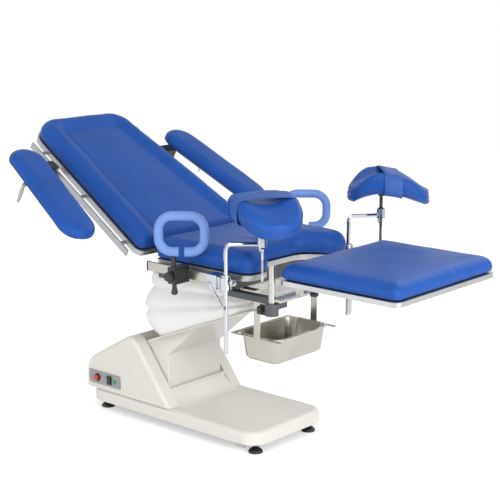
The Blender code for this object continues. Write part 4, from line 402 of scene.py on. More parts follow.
def rounded(corners: Sequence[Corner], inset: float = 0.0, steps: int = 8) -> list[tuple[float, float]]:
    """Points of a counter-clockwise polygon with rounded corners, moved in by inset.

    Args:
        corners: (x, y, radius) of each corner.
        inset: distance inwards.
        steps: facets of each corner.

    Returns:
        Plan points, the same count for any inset.
    """
    points: list[tuple[float, float]] = []
    for index, (x, y, radius) in enumerate(corners):
        here = Vector((x, y))
        back = (Vector(corners[index - 1][:2]) - here).normalized()
        ahead = (Vector(corners[(index + 1) % len(corners)][:2]) - here).normalized()
        convex = 1.0 if back.x * ahead.y - back.y * ahead.x < 0.0 else -1.0
        half = back.angle(ahead) / 2
        bisector = (back + ahead).normalized()
        corner = here + bisector * (convex * inset / math.sin(half))
        arc = max(radius - convex * inset, LEAST_ARC)
        centre = corner + bisector * (arc / math.sin(half))
        spoke = corner + back * (arc / math.tan(half)) - centre
        sweep = convex * (math.pi - 2 * half)
        for step in range(steps + 1):
            x_here, y_here = centre + Matrix.Rotation(sweep * step / steps, 2) @ spoke
            points.append((x_here, y_here))
    return points


def rectangle(x_low: float, x_high: float, half_width: float, radius_low: float,
              radius_high: float) -> list[Corner]:
    """Corners of a rounded rectangle about the X axis, counter-clockwise.

    Args:
        x_low: its lower end.
        x_high: its upper end.
        half_width: half its width along Y.
        radius_low: corner radius at the lower end.
        radius_high: corner radius at the upper end.

    Returns:
        (x, y, radius) of each corner.
    """
    return [(x_low, -half_width, radius_low), (x_high, -half_width, radius_high),
            (x_high, half_width, radius_high), (x_low, half_width, radius_low)]


def loft(rings: Sequence[Sequence[Point]], closed: bool = False) -> bmesh.types.BMesh:
    """Skin rings of points.

    Args:
        rings: rings of equal count.
        closed: join the last ring to the first instead of capping both ends.

    Returns:
        The mesh.
    """
    bm = bmesh.new()
    rows = [[bm.verts.new(point) for point in ring] for ring in rings]
    pairs = list(zip(rows, rows[1:]))
    if closed:
        pairs.append((rows[-1], rows[0]))
    else:
        bm.faces.new(rows[0])
        bm.faces.new(rows[-1])
    for lower, upper in pairs:
        for i in range(len(lower)):
            j = (i + 1) % len(lower)
            bm.faces.new((lower[i], lower[j], upper[j], upper[i]))
    return bm


def turned(profile: Profile, start: Point, axis: Point, steps: int = 28) -> bpy.types.Object:
    """A piece turned on a lathe.

    Args:
        profile: (radius, distance along the axis) from one end to the other.
        start: where the axis starts.
        axis: direction of the axis.
        steps: facets round.

    Returns:
        The piece.
    """
    angles = [2 * math.pi * i / steps for i in range(steps)]
    rings = []
    for radius, along in profile:
        reach = max(radius, LEAST_TIP)
        rings.append([(reach * math.cos(angle), reach * math.sin(angle), along) for angle in angles])
    bm = loft(rings)
    turn = Vector(axis).to_track_quat("Z", "Y").to_matrix().to_4x4()
    bmesh.ops.transform(bm, matrix=Matrix.Translation(Vector(start)) @ turn, verts=bm.verts)
    return shape_of(bm)


def tube(points: Sequence[Point], radius: float, resolution: int, closed: bool = False) -> bpy.types.Object:
    """A round tube or welt along points.

    Args:
        points: centre line.
        radius: tube radius.
        resolution: facets of a quarter round.
        closed: whether the line closes on itself.

    Returns:
        The tube as a mesh.
    """
    curve = bpy.data.curves.new("line", "CURVE")
    curve.dimensions = "3D"
    spline = curve.splines.new("POLY")
    spline.points.add(len(points) - 1)
    for target, point in zip(spline.points, points):
        target.co = (*point, 1.0)
    spline.use_cyclic_u = closed
    curve.bevel_depth = radius
    curve.bevel_resolution = resolution
    curve.use_fill_caps = not closed
    line = bpy.data.objects.new("line", curve)
    bpy.context.scene.collection.objects.link(line)
    return baked(line)


def merged(*shapes: bpy.types.Object) -> bpy.types.Object:
    """Put several small shapes in one piece.

    Args:
        shapes: shapes to take; they are removed.

    Returns:
        The piece.
    """
    bm = bmesh.new()
    for shape in shapes:
        bm.from_mesh(shape.data)
        bpy.data.objects.remove(shape)
    return shape_of(bm)


def evenly(points: Sequence[Point], count: int, closed: bool = True) -> list[Point]:
    """Spread points evenly along a line.

    Args:
        points: points of the line.
        count: points wanted.
        closed: whether the line closes on itself.

    Returns:
        The even line, starting at the same point.
    """
    places = np.array([*points, points[0]] if closed else points)
    lengths = np.concatenate(([0.0], np.cumsum(np.linalg.norm(np.diff(places, axis=0), axis=1))))
    wanted = np.linspace(0.0, lengths[-1], count, endpoint=not closed)
    columns = [np.interp(wanted, lengths, places[:, axis]) for axis in range(3)]
    return [tuple(point) for point in np.stack(columns, axis=1).tolist()]


def softened(points: Sequence[Point], passes: int, closed: bool = True) -> list[Point]:
    """Round a line's corners by drawing each point towards its neighbours.

    Args:
        points: points of the line.
        passes: how many times they are drawn.
        closed: whether the line closes on itself; the ends of an open one are kept.

    Returns:
        The softened line.
    """
    places = np.array(points)
    for _ in range(passes):
        drawn = (np.roll(places, 1, axis=0) + 2 * places + np.roll(places, -1, axis=0)) / 4
        if not closed:
            drawn[[0, -1]] = places[[0, -1]]
        places = drawn
    return [tuple(point) for point in places.tolist()]


def smooth_step(values: np.ndarray, low: float, high: float) -> np.ndarray:
    """Zero below low, one above high, and a soft rise between."""
    share = np.clip((values - low) / (high - low), 0.0, 1.0)
    return share * share * (3.0 - 2.0 * share)


def ridge(values: np.ndarray, centre: float, spread: float) -> np.ndarray:
    """One at the centre, with a soft fall to zero on both sides."""
    return np.exp(-((values - centre) / spread) ** 2)


def creases(points: np.ndarray, size: float, depth: float, seed: float) -> np.ndarray:
    """Slow hide-like unevenness of stretched upholstery.

    Args:
        points: places, one row each.
        size: spacing of the unevenness.
        depth: its height.
        seed: where in the noise field it is read.

    Returns:
        A height for each place.
    """
    shift = Vector((seed, 2.0 * seed, 3.0 * seed))
    return np.array([depth * noise.noise(Vector(point) / size + shift) for point in points])


def laid_on(pad: bpy.types.Object, points: Sequence[Point], proud: float) -> list[Point]:
    """Move points to the nearest place on a pad's skin.

    Args:
        pad: upholstered pad.
        points: places near its skin.
        proud: height left above the skin.

    Returns:
        The places on the skin.
    """
    bpy.context.view_layer.update()
    laid = []
    for point in points:
        _, spot, normal, _ = pad.closest_point_on_mesh(point)
        laid.append(tuple(spot + proud * normal))
    return laid


# Upholstery

# A foam block's foot, as insets and shares of its height, and its edge, as shares of the roll and of the
# height
FOAM_FOOT = ((0.012, 0.0), (0.003, 0.10), (0.0, 0.30))
FOAM_ROLL = ((0.03, 0.48), (0.16, 0.66), (0.40, 0.84), (0.70, 0.94), (1.0, 1.0))
# Piped seams: points round a pad, how far inside its plan they start, the share of the radius that their line
# lies above the skin, softening passes, and facets of a quarter round
WELT_POINTS = 220
WELT_INSET = 0.001
WELT_PROUD = 0.3
WELT_SOFTENING = 2
WELT_FACETS = 3


def cushion_levels(bottom: float, height: float, edge: float) -> list[Level]:
    """Levels of a padded edge: drawn in at the seam, fullest low down, rolled over to a crown.

    Args:
        bottom: height of the underside.
        height: thickness of the block.
        edge: how far in the rolled edge reaches.

    Returns:
        (inset, height) of each level, from the bottom up.
    """
    shares = [*FOAM_FOOT, *((part * edge, share) for part, share in FOAM_ROLL)]
    return [(inset, bottom + share * height) for inset, share in shares]


@dataclass
class Stuffing:
    """How a cut foam pad is turned to an upholstered one, and how stiff its cover is."""

    voxel: float = 0.006
    smoothing: int = 8
    smoothing_pull: float = 0.5
    pressure: float = 4.0
    swell: float = 0.004
    frames: int = 12
    quality: int = 4
    tension: float = 40.0
    compression: float = 20.0
    bending: float = 4.0
    facing: tuple[float, float] = (0.15, 0.75)

    def stuff(self, cut: bpy.types.Object, lift: Lift, floor: float | None = None) -> bpy.types.Object:
        """Remesh a cut foam shape, blow it up under its cover, and press its upholstered form into it.

        Args:
            cut: closed foam shape.
            lift: height added to each upward-facing point, from its place.
            floor: height below which the pad is held flat.

        Returns:
            The upholstered pad.
        """
        remesh = cut.modifiers.new("remesh", "REMESH")
        remesh.mode = "VOXEL"
        remesh.voxel_size = self.voxel
        relax = cut.modifiers.new("relax", "SMOOTH")
        relax.factor = self.smoothing_pull
        relax.iterations = self.smoothing
        pad = baked(cut)
        self.inflate(pad)
        mesh = pad.data
        places = places_of(mesh)
        normals = np.empty(places.size)
        mesh.vertex_normals.foreach_get("vector", normals)
        upward = smooth_step(normals.reshape(-1, 3)[:, 2], *self.facing)
        places[:, 2] += upward * lift(places)
        if floor is not None:
            places[:, 2] = np.maximum(places[:, 2], floor)
        mesh.vertices.foreach_set("co", places.ravel())
        mesh.update()
        mesh.shade_smooth()
        return pad

    def inflate(self, pad: bpy.types.Object) -> None:
        """Swell a pad with a short cloth run under pressure, keeping each point within the swell limit.

        Args:
            pad: remeshed pad.
        """
        scene = bpy.context.scene
        rest = places_of(pad.data)
        cloth = pad.modifiers.new("cover", "CLOTH")
        cloth.settings.quality = self.quality
        cloth.settings.use_pressure = True
        cloth.settings.uniform_pressure_force = self.pressure
        cloth.settings.effector_weights.gravity = 0.0
        cloth.settings.tension_stiffness = self.tension
        cloth.settings.compression_stiffness = self.compression
        cloth.settings.bending_stiffness = self.bending
        cloth.collision_settings.use_collision = False
        cloth.point_cache.frame_start = 1
        cloth.point_cache.frame_end = self.frames
        for frame in range(1, self.frames + 1):
            scene.frame_set(frame)
        graph = bpy.context.evaluated_depsgraph_get()
        moved = places_of(pad.evaluated_get(graph).to_mesh())
        pad.evaluated_get(graph).to_mesh_clear()
        pad.modifiers.clear()
        scene.frame_set(1)
        step = moved - rest
        length = np.maximum(np.linalg.norm(step, axis=1, keepdims=True), 1e-9)
        step *= np.minimum(length, self.swell) / length
        pad.data.vertices.foreach_set("co", (rest + step).ravel())
        pad.data.update()


@dataclass
class Cushion:
    """A pad that lies on a tray: its plan, the levels of its foam, its upholstered form and its seam."""

    plan: Sequence[Corner]
    levels: Sequence[Level]
    lift: Lift
    seam_height: float
    fill: float
    seam_radius: float = 0.0022
    stuffing: Stuffing = field(default_factory=Stuffing)

    def seam(self, pad: bpy.types.Object, height: float) -> bpy.types.Object:
        """Lay a piped seam round the pad.

        Args:
            pad: upholstered pad, lying flat.
            height: height of the seam.

        Returns:
            The piping.
        """
        line = evenly([(x, y, height) for x, y in rounded(self.plan, WELT_INSET)], WELT_POINTS)
        laid = softened(laid_on(pad, line, WELT_PROUD * self.seam_radius), WELT_SOFTENING)
        return tube(laid, self.seam_radius, WELT_FACETS, closed=True)

    def build(self, bench: Bench, names: tuple[str, str], body: str, node: str,
              frame: Matrix | None = None) -> None:
        """Make the pad and its seam.

        Args:
            bench: where they are put.
            names: names of the pad and of the seam.
            body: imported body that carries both.
            node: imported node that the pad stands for.
            frame: from the flat pad to the table, where these differ.
        """
        bottom = self.levels[0][1]
        block = loft([[(x, y, z) for x, y in rounded(self.plan, inset)] for inset, z in self.levels])
        pad = self.stuffing.stuff(shape_of(block), self.lift, bottom)
        seam = self.seam(pad, bottom + self.seam_height)
        bench.put(pad, names[0], VINYL, body, frame, node)
        bench.put(seam, names[1], WELT, body, frame)


# Sub-assemblies

@dataclass
class Seat:
    """Seat cushion with its front cut-out, and the end caps of both side rails."""

    rear: float = -0.425
    lobe_front: float = 0.045
    half_width: float = 0.300
    cut_front_half: float = 0.185
    cut_rear_half: float = 0.115
    cut_x: float = -0.060
    rear_radius: float = 0.035
    lobe_radius: float = 0.05
    cut_radius: float = 0.08
    bottom: float = 0.7048
    height: float = 0.080
    swell_room: float = 0.003
    edge: float = 0.042
    seam_height: float = 0.0085
    fill: float = 0.85
    crown: float = 0.006
    crown_reach: float = 0.235
    # Folds of the hide round a point ahead of the cut-out's rear edge
    fold_centre: float = 0.05
    fold_count: float = 11.0
    fold_depth: float = 0.0016
    fold_reach: float = 0.16
    fold_spread: float = 0.04
    # Spacing, depth and seed of the hide's unevenness
    hide: tuple[float, float, float] = (0.11, 0.0016, 3.1)
    rail_y: float = 0.330
    rail_z: float = 0.683
    rail_ends: tuple[float, float] = (-0.415, 0.0)
    cap_half_depth: float = 0.0062
    cap_half_height: float = 0.0182
    cap_radius: float = 0.002
    cap_corner_steps: int = 3
    # Inset, and distance past the rail's end
    cap_levels: tuple[Level, ...] = ((0.0, 0.0004), (0.0, 0.004), (0.0015, 0.006), (0.004, 0.0065))

    def corners(self) -> list[Corner]:
        """Plan of the seat.

        Returns:
            Its corners, counter-clockwise from the near rear one.
        """
        far = [(self.rear, self.half_width, self.rear_radius),
               (self.lobe_front, self.half_width, self.lobe_radius),
               (self.lobe_front, self.cut_front_half, self.lobe_radius),
               (self.cut_x, self.cut_rear_half, self.cut_radius)]
        return [(x, -y, radius) for x, y, radius in far] + far[::-1]

    def lift(self, places: np.ndarray) -> np.ndarray:
        """Crown of the seat, and the small folds that the hide takes round the cut-out.

        Args:
            places: points of the pad, one row each.

        Returns:
            Height added at each.
        """
        along = (places[:, 0] - (self.rear + self.lobe_front) / 2) / self.crown_reach
        across = places[:, 1] / self.half_width
        crown = self.crown * np.clip(1 - along ** 2, 0, 1) * np.clip(1 - across ** 4, 0, 1)
        ahead = places[:, 0] - self.cut_x - self.fold_centre
        reach = np.hypot(ahead, places[:, 1])
        bearing = np.arctan2(places[:, 1], -ahead)
        waves = self.fold_depth * np.cos(self.fold_count * bearing)
        folds = waves * ridge(reach, self.fold_reach, self.fold_spread)
        return crown + folds + creases(places, *self.hide)

    def rail_cap(self, x: float, y: float, way: int) -> bpy.types.Object:
        """A plastic cap pressed on one end of a rail.

        Args:
            x: where the rail ends.
            y: the rail's middle.
            way: sign of the direction that the end faces.

        Returns:
            The cap.
        """
        outline = rectangle(-self.cap_half_depth, self.cap_half_depth, self.cap_half_height, self.cap_radius,
                            self.cap_radius)
        rings = []
        for inset, past in self.cap_levels:
            plan = rounded(outline, inset, self.cap_corner_steps)
            rings.append([(x + way * past, y + depth, self.rail_z + height) for depth, height in plan])
        return shape_of(loft(rings))

    def build(self, bench: Bench) -> None:
        """Make the cushion, its seam and the rail caps.

        Args:
            bench: where they are put.
        """
        levels = cushion_levels(self.bottom, self.height - self.swell_room, self.edge)
        cushion = Cushion(self.corners(), levels, self.lift, self.seam_height, self.fill)
        cushion.build(bench, ("seat_cushion", "seat_seam"), "seat", "seat_pad")
        for side in Side:
            y = side.value * self.rail_y
            caps = [self.rail_cap(x, y, way) for x, way in zip(self.rail_ends, (-1, 1))]
            bench.put(merged(*caps), f"seat_rail_caps_{side.label}", NYLON, "seat")


@dataclass
class Backrest:
    """Backrest cushion with its raised border, laid flat and then turned up."""

    hinge: Point = (-0.465, 0.0, 0.690)
    angle: float = 29.8
    start: float = 0.040
    length: float = 0.800
    half_width: float = 0.303
    top_half_width: float = 0.232
    bottom_radius: float = 0.03
    top_radius: float = 0.10
    bottom: float = 0.0083
    height: float = 0.066
    swell_room: float = 0.003
    edge: float = 0.040
    seam_height: float = 0.008
    fill: float = 0.85
    border: float = 0.062
    border_slope: float = 0.034
    panel_depth: float = 0.013
    stitch_depth: float = 0.0026
    stitch_spread: float = 0.006
    roll_height: float = 0.0035
    roll_at: float = 0.72
    roll_spread: float = 0.026
    crown: float = 0.004
    crown_run: float = 0.14
    # Spacing, depth and seed of the hide's unevenness
    hide: tuple[float, float, float] = (0.14, 0.0020, 1.7)

    def turned_up(self) -> Matrix:
        """From the flat backrest to the table."""
        return Matrix.Translation(self.hinge) @ Matrix.Rotation(math.radians(self.angle), 4, "Y")

    def corners(self) -> list[Corner]:
        """Plan of the backrest, lying flat.

        Returns:
            Its corners, counter-clockwise from the near one at the hinge.
        """
        head = -self.start - self.length
        return [(-self.start, -self.half_width, self.bottom_radius),
                (-self.start, self.half_width, self.bottom_radius),
                (head, self.top_half_width, self.top_radius), (head, -self.top_half_width, self.top_radius)]

    def edge_distance(self, places: np.ndarray) -> np.ndarray:
        """Distance in from the sides and the head end, rounded at the head's corners.

        Args:
            places: points of the pad, one row each.

        Returns:
            Distance of each.
        """
        taper = (self.half_width - self.top_half_width) / self.length
        from_start = -places[:, 0] - self.start
        side = self.half_width - taper * from_start - np.abs(places[:, 1])
        head = self.length - from_start
        corner = self.top_radius
        inner = np.hypot(np.maximum(corner - side, 0.0), np.maximum(corner - head, 0.0))
        return np.where((side < corner) & (head < corner), corner - inner, np.minimum(side, head))

    def lift(self, places: np.ndarray) -> np.ndarray:
        """Raised border with a sewn foot, a gently crowned panel, and hide unevenness.

        Args:
            places: points of the pad, one row each.

        Returns:
            Height added at each.
        """
        depth = self.edge_distance(places)
        inner = self.border + self.border_slope
        drop = -self.panel_depth * smooth_step(depth, self.border, inner)
        stitch = -self.stitch_depth * ridge(depth, inner, self.stitch_spread)
        roll = self.roll_height * ridge(depth, self.border * self.roll_at, self.roll_spread)
        crown = self.crown * smooth_step(depth, inner, inner + self.crown_run)
        return drop + stitch + roll + crown + creases(places, *self.hide)

    def build(self, bench: Bench) -> None:
        """Make the cushion and its seam.

        Args:
            bench: where they are put.
        """
        levels = cushion_levels(self.bottom, self.height - self.swell_room, self.edge)
        cushion = Cushion(self.corners(), levels, self.lift, self.seam_height, self.fill)
        cushion.build(bench, ("back_cushion", "back_seam"), "back", "back_pad", self.turned_up())


@dataclass
class ArmBoards:
    """Cushions of the arm boards beside the backrest, and the screws under their plates."""

    back: Backrest
    stuffing: Stuffing = field(default_factory=partial(Stuffing, voxel=0.005, swell=0.003))
    pivot_s: float = 0.600
    pivot_y: float = 0.360
    toe_out: float = 9.3
    length: float = 0.545
    width: float = 0.154
    tip_flat: float = 0.0005
    offset: float = 0.063
    centre: float = 0.200
    bottom: float = 0.0205
    height: float = 0.042
    swell_room: float = 0.002
    edge: float = 0.034
    seam_height: float = 0.0065
    seam_radius: float = 0.0018
    fill: float = 0.8
    crown: float = 0.004
    # Spacing, depth and seed of the hide's unevenness
    hide: tuple[float, float, float] = (0.07, 0.0012, 5.0)
    screw: Profile = ((0.0, 0.0), (0.003, 0.0), (0.0048, 0.0006), (0.0050, 0.0022), (0.0, 0.0022))
    screw_steps: int = 16
    screw_along: tuple[float, ...] = (0.06, 0.20, 0.34)
    screw_across: tuple[float, ...] = (-0.03, 0.03)
    screw_drop: float = 0.0065

    def frame(self, side: Side) -> Matrix:
        """From an arm board's own frame to the table.

        Args:
            side: which board.

        Returns:
            Its place, turned up with the back.
        """
        place = Matrix.Translation((-self.pivot_s, side.value * self.pivot_y, 0.0))
        toe = Matrix.Rotation(side.value * math.radians(self.toe_out), 4, "Z")
        return self.back.turned_up() @ place @ toe

    def corners(self, side: Side) -> list[Corner]:
        """Plan of a board with round ends.

        Args:
            side: which board.

        Returns:
            Its corners in its own frame.
        """
        half = self.length / 2
        radius = self.width / 2 - self.tip_flat
        plan = rectangle(-half, half, self.width / 2, radius, radius)
        return [(x + self.centre, y + side.value * self.offset, arc) for x, y, arc in plan]

    def lift(self, side: Side, places: np.ndarray) -> np.ndarray:
        """Crown of an arm cushion, and hide unevenness.

        Args:
            side: which board.
            places: points of the pad, one row each.

        Returns:
            Height added at each.
        """
        along = (places[:, 0] - self.centre) / (self.length / 2)
        across = (places[:, 1] - side.value * self.offset) / (self.width / 2)
        crown = self.crown * np.clip(1 - along ** 4, 0, 1) * np.clip(1 - across ** 2, 0, 1)
        size, depth, seed = self.hide
        return crown + creases(places, size, depth, seed + side.value)

    def build(self, bench: Bench) -> None:
        """Make both boards' cushions, seams and screws.

        Args:
            bench: where they are put.
        """
        levels = cushion_levels(self.bottom, self.height - self.swell_room, self.edge)
        for side in Side:
            label = side.label
            frame = self.frame(side)
            cushion = Cushion(self.corners(side), levels, partial(self.lift, side), self.seam_height,
                              self.fill, self.seam_radius, self.stuffing)
            cushion.build(bench, (f"arm_cushion_{label}", f"arm_seam_{label}"), f"arm_{label}",
                          f"arm_pad_{label}", frame)
            heads = []
            for x in self.screw_along:
                for across in self.screw_across:
                    place = (x, side.value * self.offset + across, self.bottom - self.screw_drop)
                    heads.append(turned(self.screw, place, UP, self.screw_steps))
            bench.put(merged(*heads), f"arm_screws_{label}", CHROME, f"arm_{label}", frame)


@dataclass
class LegSection:
    """Leg cushion, and the knob under its tray."""

    rear: float = 0.178
    front: float = 0.675
    half_width: float = 0.300
    rear_radius: float = 0.03
    front_radius: float = 0.028
    bottom: float = 0.7173
    height: float = 0.062
    seam_height: float = 0.006
    fill: float = 0.8
    # A low pad with a wide soft shoulder, as (inset, share of its height)
    shoulder: tuple[Level, ...] = ((0.010, 0.0), (0.0, 0.18), (0.001, 0.34), (0.005, 0.52), (0.014, 0.70),
                                   (0.034, 0.86), (0.070, 0.94), (0.130, 0.98))
    # Spacing, depth and seed of the hide's unevenness
    hide: tuple[float, float, float] = (0.12, 0.0016, 7.3)
    tray_bottom: float = 0.700
    knob_at: Point = (0.264, -0.205, 0.655)
    knob: Profile = ((0.0, 0.0), (0.010, 0.0), (0.0145, 0.002), (0.0155, 0.007), (0.0145, 0.013),
                     (0.009, 0.016), (0.005, 0.018))
    stem_radius: float = 0.0045
    stem_run_in: float = 0.02

    def lift(self, places: np.ndarray) -> np.ndarray:
        """Slow unevenness of the hide."""
        return creases(places, *self.hide)

    def build(self, bench: Bench) -> None:
        """Make the cushion, its seam and the knob.

        Args:
            bench: where they are put.
        """
        plan = rectangle(self.rear, self.front, self.half_width, self.rear_radius, self.front_radius)
        levels = [(inset, self.bottom + share * self.height) for inset, share in self.shoulder]
        cushion = Cushion(plan, levels, self.lift, self.seam_height, self.fill)
        cushion.build(bench, ("leg_cushion", "leg_seam"), "leg_section", "leg_pad")
        stem = self.tray_bottom - self.knob_at[2] + self.stem_run_in
        knob = turned((*self.knob, (self.stem_radius, stem), (0.0, stem)), self.knob_at, UP)
        bench.put(knob, "leg_tray_knob", NYLON, "leg_section")


@dataclass
class KneeSupports:
    """Knee cushions on their shells, with piped rims and straps, and the screws of the posts' clamps."""

    stuffing: Stuffing = field(default_factory=partial(Stuffing, voxel=0.005, smoothing=6))
    post_x: float = -0.012
    post_y: float = 0.352
    reach: float = 0.127
    heading_near: float = 44.0
    heading_far: float = 51.0
    knee_heading_near: float = 30.0
    knee_heading_far: float = 45.0
    calf_end: float = 0.165
    thigh_end: float = -0.110
    crown_at: float = -0.020
    floor_z: float = 0.978
    calf_droop: float = 0.055
    thigh_droop: float = 0.042
    half_width: float = 0.105
    ear_rise: float = 0.036
    calf_ear_share: float = 0.55
    pad_thickness: float = 0.052
    wrap_side: float = 0.006
    wrap_end: float = 0.016
    wrap_under: float = 0.004
    # Powers of the plan's rounded ends, and the least share of the half width at its tips
    end_power: float = 3.5
    side_power: float = 0.45
    tip_share: float = 0.10
    # How far the upper and the lower face roll over at the sides, and how late
    top_roll: float = 0.030
    base_roll: float = 0.012
    roll_power: int = 6
    foam_stations: int = 24
    foam_steps: int = 18
    fill: float = 0.75
    # Spacing, depth and seed of the hide's unevenness
    hide: tuple[float, float, float] = (0.05, 0.0018, 11.0)
    rim_stations: int = 44
    rim_shares: tuple[float, float] = (0.08, 0.95)
    rim_radius: float = 0.0022
    rim_proud: float = 0.0008
    rim_softening: int = 3
    strap_half_width: float = 0.034
    strap_at: float = 0.028
    strap_dent: float = 0.004
    strap_dent_spread: float = 0.03
    strap_gap: float = 0.0022
    strap_slice: float = 0.006
    strap_arch: float = 0.004
    strap_turn: float = 0.024
    strap_arc_steps: int = 6
    strap_top_steps: int = 10
    strap_points: int = 64
    strap_softening: int = 2
    strap_thickness: float = 0.0030
    strap_edge_share: float = 0.3
    strap_edge_steps: int = 2
    strap_crisp_angle: float = 60.0
    # How far out under the cushion the two ends lie, as a share of the way to its sides
    strap_end_share: float = 0.5
    strap_lines: tuple[float, ...] = (-1.0, -0.5, 0.0, 0.5, 1.0)
    # The loose end: how far each of its lines is shifted, which of the strap's points it covers, how much of
    # its lift is upwards, and how many thicknesses it is lifted
    tab_shifts: tuple[float, ...] = (0.004, 0.003, 0.002, 0.001, 0.0)
    tab_points: tuple[int, int] = (16, 40)
    tab_upward: float = 0.6
    tab_lift: float = 1.1
    screw: Profile = ((0.0, 0.0), (0.005, 0.0), (0.005, 0.010), (0.012, 0.011), (0.0135, 0.013),
                      (0.0135, 0.018), (0.012, 0.020), (0.0, 0.0205))
    screw_ahead: float = 0.0195
    screw_z: float = 0.690

    def frame(self, side: Side) -> Matrix:
        """From a knee support's own frame to the table.

        Args:
            side: which support.

        Returns:
            Its place at the end of its post's arm, turned to its heading.
        """
        heading = math.radians(side.pick(self.heading_near, self.heading_far))
        place = Matrix.Translation((self.post_x + self.reach * math.cos(heading),
                                    side.value * self.post_y + self.reach * math.sin(heading), 0.0))
        knee_heading = side.pick(self.knee_heading_near, self.knee_heading_far)
        return place @ Matrix.Rotation(side.value * math.radians(knee_heading), 4, "Z")

    def height(self, along: float, across: float) -> float:
        """Height of the saddle's upper face, with lower ears towards the calf.

        Args:
            along: place along the cushion, towards the calf.
            across: place across it.

        Returns:
            Height above the floor.
        """
        if along > self.crown_at:
            share = min((along - self.crown_at) / (self.calf_end - self.crown_at), 1.0)
            droop = self.calf_droop * share ** 2
            ear = self.ear_rise * (1 - (1 - self.calf_ear_share) * share ** 2)
        else:
            share = min((self.crown_at - along) / (self.crown_at - self.thigh_end), 1.0)
            droop = self.thigh_droop * share ** 2
            ear = self.ear_rise
        return self.floor_z + ear * min(abs(across) / self.half_width, 1.0) ** 2 - droop

    def base(self, along: float) -> float:
        """Height of the cushion's flat underside, just below its shell's edges."""
        return self.height(along, 0.0) - self.pad_thickness - self.wrap_under

    def span(self) -> tuple[float, float]:
        """Middle of the cushion, and half its length with what it wraps of its shell's ends."""
        return (self.calf_end + self.thigh_end) / 2, (self.calf_end - self.thigh_end) / 2 + self.wrap_end

    def width(self, along: float) -> float:
        """Half width of the cushion, wrapped round its shell.

        Args:
            along: place along the cushion.

        Returns:
            Half its width there.
        """
        middle, half = self.span()
        share = min(abs(along - middle) / half, 1.0)
        full = (self.half_width + self.wrap_side) * max(1 - share ** self.end_power, 0.0) ** self.side_power
        return max(full, self.tip_share * self.half_width)

    def stations(self, count: int) -> list[float]:
        """Places along the cushion, closer together at its ends."""
        middle, half = self.span()
        return [middle - half * math.cos(math.pi * station / count) for station in range(count + 1)]

    def saddle(self) -> bpy.types.Object:
        """The cut foam of a knee cushion: a trough above, flat below.

        Returns:
            The closed foam shape.
        """
        rings = []
        for along in self.stations(self.foam_stations):
            width = self.width(along)
            top = []
            base = []
            for step in range(self.foam_steps + 1):
                part = -1 + 2 * step / self.foam_steps
                roll = 1 - math.sqrt(1 - part ** self.roll_power)
                top.append((along, part * width, self.height(along, part * width) - self.top_roll * roll))
                base.append((along, part * width, self.base(along) + self.base_roll * roll))
            rings.append(top + base[::-1])
        return shape_of(loft(rings))

    def lift(self, side: Side, places: np.ndarray) -> np.ndarray:
        """The dent that the strap draws in the cushion, and hide unevenness.

        Args:
            side: which support.
            places: points of the pad, one row each.

        Returns:
            Height added at each.
        """
        dent = -self.strap_dent * ridge(places[:, 0], self.strap_at, self.strap_dent_spread)
        size, depth, seed = self.hide
        return dent + creases(places, size, depth, seed + side.value)

    def strap_line(self, pad: bpy.types.Object, along: float) -> list[Point]:
        """One line of the strap, drawn round the cushion from under one side to under the other.

        Args:
            pad: upholstered cushion that it goes round.
            along: place of the line along the cushion.

        Returns:
            Points of the line.
        """
        near = [vertex.co for vertex in pad.data.vertices if abs(vertex.co.x - along) < self.strap_slice]
        side = max(abs(point.y) for point in near) + self.strap_gap
        top = max(point.z for point in near) + self.strap_gap
        low = min(point.z for point in near) - self.strap_gap
        turn = self.strap_turn
        line: list[Point] = [(along, -self.strap_end_share * side, low)]
        for radius, centre_z, start in ((turn / 2, low + turn / 2, 270.0), (turn, top - turn, 180.0)):
            for step in range(self.strap_arc_steps + 1):
                angle = math.radians(start - 90.0 * step / self.strap_arc_steps)
                y = -side + radius + radius * math.cos(angle)
                line.append((along, y, centre_z + radius * math.sin(angle)))
        flat = side - turn
        for step in range(1, self.strap_top_steps):
            part = -1 + step / self.strap_top_steps
            line.append((along, part * flat, top + self.strap_arch * (1 - part ** 2)))
        mirrored = [(x, -y, z) for x, y, z in reversed(line)]
        whole = [*line, (along, 0.0, top + self.strap_arch), *mirrored]
        return softened(evenly(whole, self.strap_points, closed=False), self.strap_softening, closed=False)

    def band(self, lines: Sequence[Sequence[Point]]) -> bpy.types.Object:
        """A thin webbing band between lines of points.

        Args:
            lines: lines of equal count, side by side.

        Returns:
            The band.
        """
        bm = bmesh.new()
        rows = [[bm.verts.new(point) for point in line] for line in lines]
        for first, second in zip(rows, rows[1:]):
            for i in range(len(first) - 1):
                bm.faces.new((first[i], first[i + 1], second[i + 1], second[i]))
        band = shape_of(bm, self.strap_crisp_angle)
        thick = band.modifiers.new("thickness", "SOLIDIFY")
        thick.thickness = self.strap_thickness
        thick.offset = 0.0
        soft = band.modifiers.new("edge", "BEVEL")
        soft.width = self.strap_thickness * self.strap_edge_share
        soft.segments = self.strap_edge_steps
        return baked(band)

    def strap(self, pad: bpy.types.Object) -> bpy.types.Object:
        """A wide strap round the cushion, with its loose end laid back over it.

        Args:
            pad: upholstered cushion that it goes round.

        Returns:
            The strap.
        """
        half = self.strap_half_width
        lines = [self.strap_line(pad, self.strap_at + share * half) for share in self.strap_lines]
        tab = []
        for line, shift in zip(lines, self.tab_shifts):
            lifted = []
            for x, y, z in line[slice(*self.tab_points)]:
                out = Vector((0.0, y, self.tab_upward * (z - self.base(x)))).normalized()
                away = out * self.tab_lift * self.strap_thickness
                lifted.append((x + shift, y + away.y, z + away.z))
            tab.append(lifted)
        return merged(self.band(lines), self.band(tab))

